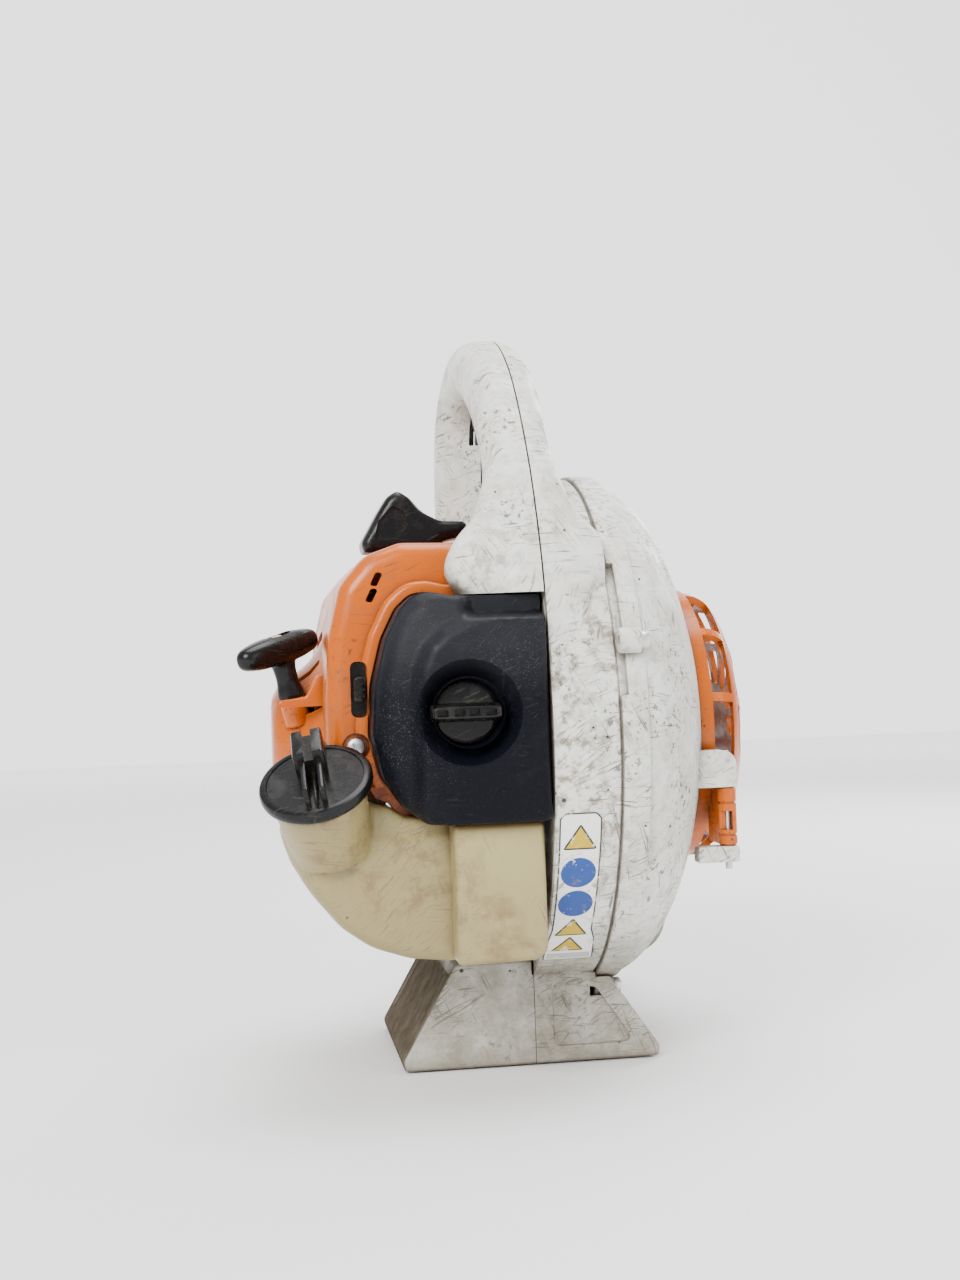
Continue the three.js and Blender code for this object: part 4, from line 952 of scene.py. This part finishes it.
def make_cover():
    line = evenly(rounded(COVER_LINE, 6, 5), 260)
    outer = cover_rows(line, COVER_WALL_Y, 0)
    inner = cover_rows(inset_ring(line, WALL), COVER_WALL_Y + 2.4, 2.4)
    cover = lofted(outer[::-1] + inner)
    cut(cover, pin((KNOB.x, -135, KNOB.z), (KNOB.x, -95, KNOB.z), 5.2))
    dress(cover, "filter_lid", "filter_cover", BLACK, "filter_cover", angle=40)


def make_knob():
    x, z = KNOB.x, KNOB.z
    profile = [(0, -121), (12.4, -121), (13.5, -120.6), (14, -119.8), (14, -116.6), (13.6, -116), (5, -116),
               (4.8, -105.4), (0, -105.4)]
    disc = turned(profile, (x, 0, z), Y, 72)
    levels = [(-119.8, 16, 4.4), (-121.5, 16, 4.3), (-125.6, 15.8, 3), (-126.3, 15.4, 2.6),
              (-126.6, 14.6, 2)]
    wing = lofted([oval((x, y, z), X, Z, half_long, half_high, 3.2, 64)
                   for y, half_long, half_high in levels])
    windows = [extruded(Y, rounded(rectangle(x + a, x + b, z - 1.7, z + 1.5), 0.6, 3), -130, -122.2)
               for a, b in ((-13.4, -8.4), (-5.8, -0.9), (0.9, 5.8), (8.4, 13.4))]
    cut(wing, *windows)
    ledge = extruded(Y, [(x - 12.2 * cos(pi * i / 20), z - 4.6 - 7.6 * sin(pi * i / 20))
                         for i in range(21)], -123, -120.3, 0)
    cut(disc, ledge)
    joined(disc, wing)
    dress(disc, "filter_wing_knob", "filter_knob", SMOOTH_BLACK, "filter_knob")


make_cover()
make_knob()

# ---- shroud ----
SHROUD_LINE = [(20, 120, 1), (20, 255, 1), (-45, 255.6, 30), (-62, 256, 14), (-79, 250, 16), (-91, 236, 16),
               (-97, 212, 22), (-99, 183, 20), (-99, 120, 1)]
SHROUD_Y = 85


def make_shroud():
    line = rounded(SHROUD_LINE, 8, 6)
    line = [p for i, p in enumerate(line) if (p - line[i - 1]).length > 0.05]
    body = extruded(Y, line, -SHROUD_Y, SHROUD_Y, 8, 7)
    inner = extruded(Y, inset_ring(line, WALL), WALL - SHROUD_Y, SHROUD_Y - WALL, 6, 3)
    apron = rounded([(-GAP, 126.6), (-66, 126.6), (-72, 134), (-80, 137), (-80, 150), (-GAP, 150)], 1.5)
    hug = evenly(rounded(COVER_LINE, 6, 5), 200)
    flange = extruded(Y, inset_ring(hug, -6.4), -91.4, -82.6, 3, 4)
    cut(flange, extruded(Y, inset_ring(hug, -0.9), -95, -84.9), room(z1=134))
    joined(body, flange)
    starter_hole = pin((-110, 0, AXIS_Z), (-80, 0, AXIS_Z), 54, 96)
    choke_slot = extruded(Y, rounded(rectangle(-87.5, -80, 174.5, 200.5), 3.2, 4), -95, -75)
    ovals = [extruded(Y, rounded([(x - 1.6, z - 1.6), (x + 1.8, z - 2.2), (x + 5, z + 4),
                                  (x + 1.6, z + 4.6)], 1.6, 4), -95, -75)
             for x, z in ((-78, 230), (-75.5, 237.5))]
    screw_seat = turned([(0, -95), (6.4, -95), (6.4, -86), (6, -83.6), (0, -83.6)], (-86, 0, 161), Y, 40)
    vents = [room(x, x + 7, 70, 95, 214, 242) for x in (-90, -76, -62, -48, -34)]
    cut(body, inner, room(z1=142))
    joined(body, extruded(Y, apron, -SHROUD_Y, -82.4, 0.4, 1))
    cut(body, room(x0=-GAP), starter_hole, choke_slot, *ovals, screw_seat,
        room(-62, -28, -95, -75, 184, 216), room(-80, -52, 70, 95, 176, 204),
        pin((PLUG_X, 0, 240), (PLUG_X, 0, 270), 13, 48), pin((LEAD_X, 0, 240), (LEAD_X, 0, 270), 4, 24),
        pin((-110, *PRIMER_AT), (-90, *PRIMER_AT), 7, 32),
        pin(CAP - CAP_AXIS * 40, CAP + CAP_AXIS * 8, 27.5, 64), *vents)
    dress(body, "engine_shroud", "root", ORANGE, "shroud")
    screw_head("shroud_screw_head", (-86, -85.3, 161), (0, -1, 0), 4.2, 2, 8, "root", "shroud_screw")


make_shroud()

# ---- fuel tank ----
TANK_BODY = [(-6, 66, 6), (-12, 62, 10), (-45, 60, 30), (-64, 62, 30), (-82, 68, 30), (-96, 78, 30),
             (-109, 94, 30), (-118, 109, 20), (-123.5, 125.4, 4), (-6, 125.4, 2)]
TANK_PROUD = [(-3.5, 66, 6), (-9, 62.4, 6), (-45, 61.6, 1), (-45, 125.4, 2), (-3.5, 125.4, 3)]
TANK_SHOULDER = [(-116, 98, 6), (-74, 98, 6), (-76, 133, 8), (-86, 138, 8), (-100, 139, 8)]


def make_tank():
    body = extruded(Y, rounded(TANK_BODY, 8), -98, 35, 8, 5)
    shoulder = extruded(Y, rounded(TANK_SHOULDER, 8), -96, -62, 6, 4)
    neck = turned([(0, -36), (19, -36), (20.4, -20), (21.4, -5), (21.4, -3.6), (0, -3.6)], CAP, CAP_AXIS,
                  64)
    ledge = extruded(Y, rounded([(-100, 120), (-45, 120), (-45, 127.6), (-65, 128), (-72, 133), (-84, 136)],
                                3), -97, -70, 2, 3)
    tank = moulded(joined(body, shoulder, neck, ledge), 1.3, 8)
    proud = moulded(extruded(Y, rounded(TANK_PROUD, 4), -118, -60, 3.2, 4), 1.1, 3)
    joined(tank, proud)
    bore = pin(CAP - CAP_AXIS * 38, CAP, 16.2, 64)
    cut(tank, bore, room(y0=-58, z0=106),
        turned([(0, -3.5), (40, -3.5), (40, 60), (0, 60)], CAP, CAP_AXIS, 48),
        pin((-40, -70, 118), (-40, -70, 140), 4.2), room(-44, -2, -70, -58, 125.4, 140))
    dress(tank, "tank_shell", "root", CREAM, "fuel_tank")


def make_cap():
    side, other, _ = cap_frame()
    profile = [(0, -14), (15.2, -14), (15.2, -1.2), (24.6, -1.2), (25.7, -0.2), (26, 1), (26, 3.4),
               (25.4, 4.5), (24.2, 5), (22.6, 5), (22.1, 4.4), (0, 4.4)]
    disc = turned(profile, CAP, CAP_AXIS, 96)

    def block(a0, a1, b0, b1, h0, h1, edge=0.8):
        outline = rounded(rectangle(a0, a1, b0, b1), edge, 3)
        rings = []
        for height, inset in ((h0, 0), (h1 - edge, 0), (h1 - edge * 0.3, edge * 0.3), (h1, edge)):
            rings.append([CAP + side * p[0] + other * p[1] + CAP_AXIS * height
                          for p in inset_ring(outline, inset)])
        return lofted(rings)

    walls = [block(a - 1.2, a + 1.2, -20, 8, 3.5, 14.5) for a in (-3.7, 3.7)]
    far_end = cut(block(-7.6, 6.6, 1, 20.5, 3.5, 18.6, 1.4), block(-2.6, 1.6, -4, 24, 14.6, 22, 0.3))
    joined(disc, *walls, far_end, block(-0.9, 0.9, -19, 4, 3.5, 8))
    dress(disc, "tank_cap", "fuel_cap", SMOOTH_BLACK, "fuel_cap")


def cap_frame():
    """The wing's own directions: along the wing, across it, and up the cap's axis."""
    lean = Matrix.Rotation(radians(32), 3, "X") @ Matrix.Rotation(radians(-14), 3, "Y")
    side = lean @ Vector(X)
    side = (side - CAP_AXIS * side.dot(CAP_AXIS)).normalized()
    return side, CAP_AXIS.cross(side), CAP_AXIS


make_tank()
make_cap()

# ---- spark plug boot, starter ----
ROPE_FOOT = Vector((-113, -30, 184))
GRIP_AXIS = Vector((0.7, 0.68, 0.22)).normalized()


def on_rope(distance):
    return ROPE_FOOT + ROPE_AXIS * distance


def make_boot():
    horn = [(-73.5, 256.3, 1), (-75, 261, 4), (-66.5, 276, 20), (-61, 284.5, 5), (-55.5, 288, 4),
            (-49.5, 284, 8), (-43, 276.4, 16), (-34, 271.8, 8), (-20, 271.4, 3), (-20, 264, 3),
            (-32, 261.5, 4), (-38, 256.3, 1)]
    body = extruded(Y, rounded(horn, 4, 5), -15, 13, 4.5, 4)
    skirt = pin((PLUG_X, 0, 250), (PLUG_X, 0, 258), 12, 48)
    recess = extruded(Y, rounded([(-68.5, 262), (-66, 272, 4), (-59, 280, 3.5), (-53, 277, 4),
                                  (-50.5, 270, 4), (-56, 262.5, 3)], 2.5, 5), -20, -12.2)
    boot = cut(moulded(joined(body, skirt), 0.9, 4), recess)
    socket = turned([(0, 240), (9.2, 240), (9.2, 247), (5.6, 250), (5.6, 271), (0, 271)], (PLUG_X, 0, 0), Z,
                    32)
    cut(boot, socket)
    dress(boot, "plug_cover", "root", SMOOTH_BLACK, "spark_plug_boot")


def make_grip():
    seat = on_rope(GAP)
    top = on_rope(25)
    upward = (ROPE_AXIS.cross(GRIP_AXIS).cross(GRIP_AXIS)).normalized() * -1
    sideways = GRIP_AXIS.cross(upward).normalized()
    sections = smooth_curve([(-27.5, 2.5, 2), (-25, 5, 5), (-18, 6.6, 7.4), (-8, 7.4, 8.4), (8, 7.4, 8.4),
                             (17, 6.4, 7), (23, 5, 5), (26, 2.5, 2)], 30)
    cross = lofted([oval(top + GRIP_AXIS * along, upward, sideways, high, wide, 1.15, 36)
                    for along, high, wide in sections])
    across = ROPE_AXIS.cross(Vector(Y)).normalized()
    beside = ROPE_AXIS.cross(across).normalized()
    levels = smooth_curve([(0, 7, 6), (0.12, 6.6, 5.6), (0.4, 5.4, 4.5), (0.7, 6.2, 5), (1, 9, 6)], 18)
    neck = lofted([oval(seat.lerp(top, t), across, beside, a, b, 1.1, 32) for t, a, b in levels])
    grip = moulded(joined(cross, neck), 0.8, 5)
    pocket = lofted([oval(top + upward * h, GRIP_AXIS, sideways, 8.5, 4.6, 1.2, 32) for h in (1.5, 12)])
    cut(grip, pocket, pin(seat - ROPE_AXIS * 3, top + upward * 3, 2.4))
    dress(grip, "pull_grip", "starter_grip", SMOOTH_BLACK, "starter_grip")


def make_rope():
    low = on_rope(-12)
    top = on_rope(27)
    side, other, _ = frame_of(ROPE_AXIS)
    turns = [2 * pi * k / 24 for k in range(24)]
    rings = []
    for i in range(60):
        radii = [1.55 + 0.16 * cos(3 * turn - 0.9 * i) for turn in turns]
        place = low.lerp(top, i / 59)
        rings.append([place + side * radius * cos(turn) + other * radius * sin(turn)
                      for turn, radius in zip(turns, radii)])
    rope = lofted(rings)
    knot = turned([(0, -3.2), (2.4, -2.9), (3.9, -1.2), (4.2, 0.6), (3.4, 2.4), (1.6, 3.3), (0, 3.4)],
                  top + ROPE_AXIS * 1.6, ROPE_AXIS, 32)
    joined(rope, knot)
    dress(rope, "pull_rope", None, ROPE, "starter_rope")
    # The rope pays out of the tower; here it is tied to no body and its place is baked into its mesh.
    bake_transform(rope)


def make_starter():
    outside = [(0, -123), (17, -123), (21, -122.4), (27, -119), (33, -110), (38, -103.6), (44, -99),
               (49.5, -96), (51.6, -94), (53, -81)]
    inside = [(49.8, -81), (46.5, -94.5), (36, -100.5), (22, -120), (4, -120), (4, -101), (0, -101)]
    bowl = turned(outside + inside, sides=96)
    hub = Vector((0, AXIS_Z))
    slots = []
    for i in range(10):
        turn = radians(36 * i + 12)
        c, s = cos(turn), sin(turn)
        out, side = Vector((c, s)), Vector((-s, c)) * 2.1
        near, far = hub + out * 30.5, hub + out * 45
        ring = [near + side, far + side, far - side, near - side]
        slots.append(extruded(X, rounded(ring, 1.8, 3), -125, -92))
    cut(bowl, *slots)
    tower = pin(on_rope(-14), ROPE_FOOT, 6.5, 40, 0.8)
    block = [(-122.4, 152, 6), (-120.4, 183, 3), (-107, 184.4, 3), (-101, 195, 2.6), (-97, 195, 2.6),
             (-97, 152, 2.6)]
    pocket = [(-118, 158, 2), (-117, 178, 2), (-106, 178, 2), (-103, 158, 2)]
    body = extruded(Y, rounded(block, 2), -47, -14, 1, 3)
    cut(body, extruded(Y, rounded(pocket, 2), -50, -40), extruded(X, circle(49.9, 96), -130, -90))
    joined(bowl, tower, body)
    bolts = bolts_at(57)
    cut(bowl, pin((-110.6, 0, AXIS_Z), (-101, 0, AXIS_Z), 28.4, 64), pin(on_rope(-30), on_rope(9), 2.6))
    ears = [pin((-83.8, *p), (-80.8, *p), 5.5, 32, 0.4) for p in bolts]
    joined(bowl, *ears)
    cut(bowl, *[pin((-90, *p), (-75, *p), 2.3) for p in bolts])
    dress(bowl, "starter_bowl", "root", ORANGE, "starter_housing")


make_boot()
make_grip()
make_rope()
make_starter()

# ---- small parts ----


def make_collar():
    x, z, radius = DUCT
    profile = [(radius + out, y)
               for out, y in ((1, 128), (4, 128), (4.3, 128.6), (4.3, 135.4), (4, 136), (2.5, 136.6),
                              (2.5, 155), (1.8, 156), (-2, 156), (-3, 155), (-3, 148.3), (1, 148.3))]
    collar = turned(profile, (x, 0, z), Y, 96, True)
    lugs = [extruded(Y, rounded(rectangle(middle - 5, middle + 5, z - 4, z + 4), 1.5), 142, 150, 1)
            for middle in (x - 40, x + 40)]
    lugs = joined(*lugs)
    cut(lugs, pin((x, 100, z), (x, 200, z), radius + 1, 96))
    joined(collar, lugs)
    dress(collar, "outlet_ring", "root", SMOOTH_BLACK, "outlet_collar")


def make_choke():
    tip = extruded(Y, rounded(rectangle(-86.2, -81.3, 181.5, 193.4), 1.8, 4), -92.5, -85.3, 1)
    grooves = [room(-88, -80, -94, -91.6, z, z + 1) for z in (184, 187, 190)]
    cut(tip, *grooves)
    joined(tip, room(-85.2, -82.4, -87, -70, 184, 192), room(-88, -79, -81.5, -79, 174, 200))
    dress(tip, "choke_button", "choke", SMOOTH_BLACK, "choke_knob")


def make_primer():
    bulb = turned([(0, -106.5), (2.4, -106.3), (4.6, -105.2), (6, -103.4), (6.5, -101), (6.5, -94),
                   (0, -94)], (0, *PRIMER_AT), X, 48)
    dress(bulb, "primer_dome", "primer", RUBBER, "primer_bulb")


# ---- a plain sticker on the band, with no lettering or pictures ----
STICKER_MIDDLE = 216.5
STICKER_X = 11.8


def on_band(along, across, lift):
    """A point on the band's rim: along runs up the rim, across towards the inlet side."""
    turn = radians(STICKER_MIDDLE) - along / RIM_R
    radius = RIM_R + lift
    return (STICKER_X + across, radius * cos(turn), AXIS_Z + radius * sin(turn))


def patch(name, outline, lift, look):
    """A thin film in the shape of an outline, bent round the rim."""
    middle = sum((Vector(p) for p in outline), Vector((0, 0))) / len(outline)
    ends = [Vector(p) for p in outline]
    fine = []
    for p, q in zip(ends, ends[1:] + ends[:1]):
        steps = max(1, int((q - p).length / 2))
        fine += [p.lerp(q, k / steps) for k in range(steps)]
    shares = [1 - i / 8 for i in range(8)] + [0.02]
    under, over = ([[on_band(*(middle + (p - middle) * share), height) for p in fine] for share in shares]
                   for height in (lift - 0.25, lift))
    dress(lofted(under[::-1] + over), name, "root", look, angle=60)


def make_sticker():
    white = sticker("sticker_white", (0.78, 0.78, 0.75))
    black = sticker("sticker_black", (0.02, 0.02, 0.02))
    yellow = sticker("sticker_yellow", (0.5, 0.34, 0))
    blue = sticker("sticker_blue", (0.004, 0.045, 0.24))
    panel = [(-47.7, -10.9), (-27.5, -10.4), (-19.5, -9.4), (45, -9.8), (47.7, -7.2), (47.7, 7.2),
             (45, 9.8), (-19.5, 9.8), (-27.5, 12), (-47.7, 13.8)]
    panel = rounded(panel, 2.5)
    patch("sticker_border", panel, 0.1, black)
    patch("sticker_panel", inset_ring(panel, 0.7), 0.16, white)
    for i, along in enumerate((35.5, -18, -32)):
        ring = rounded([(along - 6, -8.2), (along + 7, 0), (along - 6, 8.2)], 1)
        patch(f"sticker_triangle_edge_{i + 1}", ring, 0.2, black)
        patch(f"sticker_triangle_{i + 1}", inset_ring(ring, 0.9), 0.25, yellow)
    for i, along in enumerate((17, -1.4)):
        disc = [(along + 8.2 * cos(radians(10 * t)), 8.2 * sin(radians(10 * t))) for t in range(36)]
        patch(f"sticker_disc_{i + 1}", disc, 0.22, blue)
    patch("sticker_strip", [(-46, -9.4), (-40.4, -9.2), (-40.4, 11.4), (-46, 12.2)], 0.2,
          sticker("sticker_grey", (0.45, 0.45, 0.43)))


make_sticker()
make_collar()
make_choke()
make_primer()

floor = room(-3000, 3000, -3000, 3000, -21, -1)
floor.name = "floor"
floor.data.materials.append(pale_floor())

for node, obj in frame["nodes"].items():
    obj.data.materials.clear()
    obj.data.materials.append(BY_SLOT[SLOT_OF[node]])
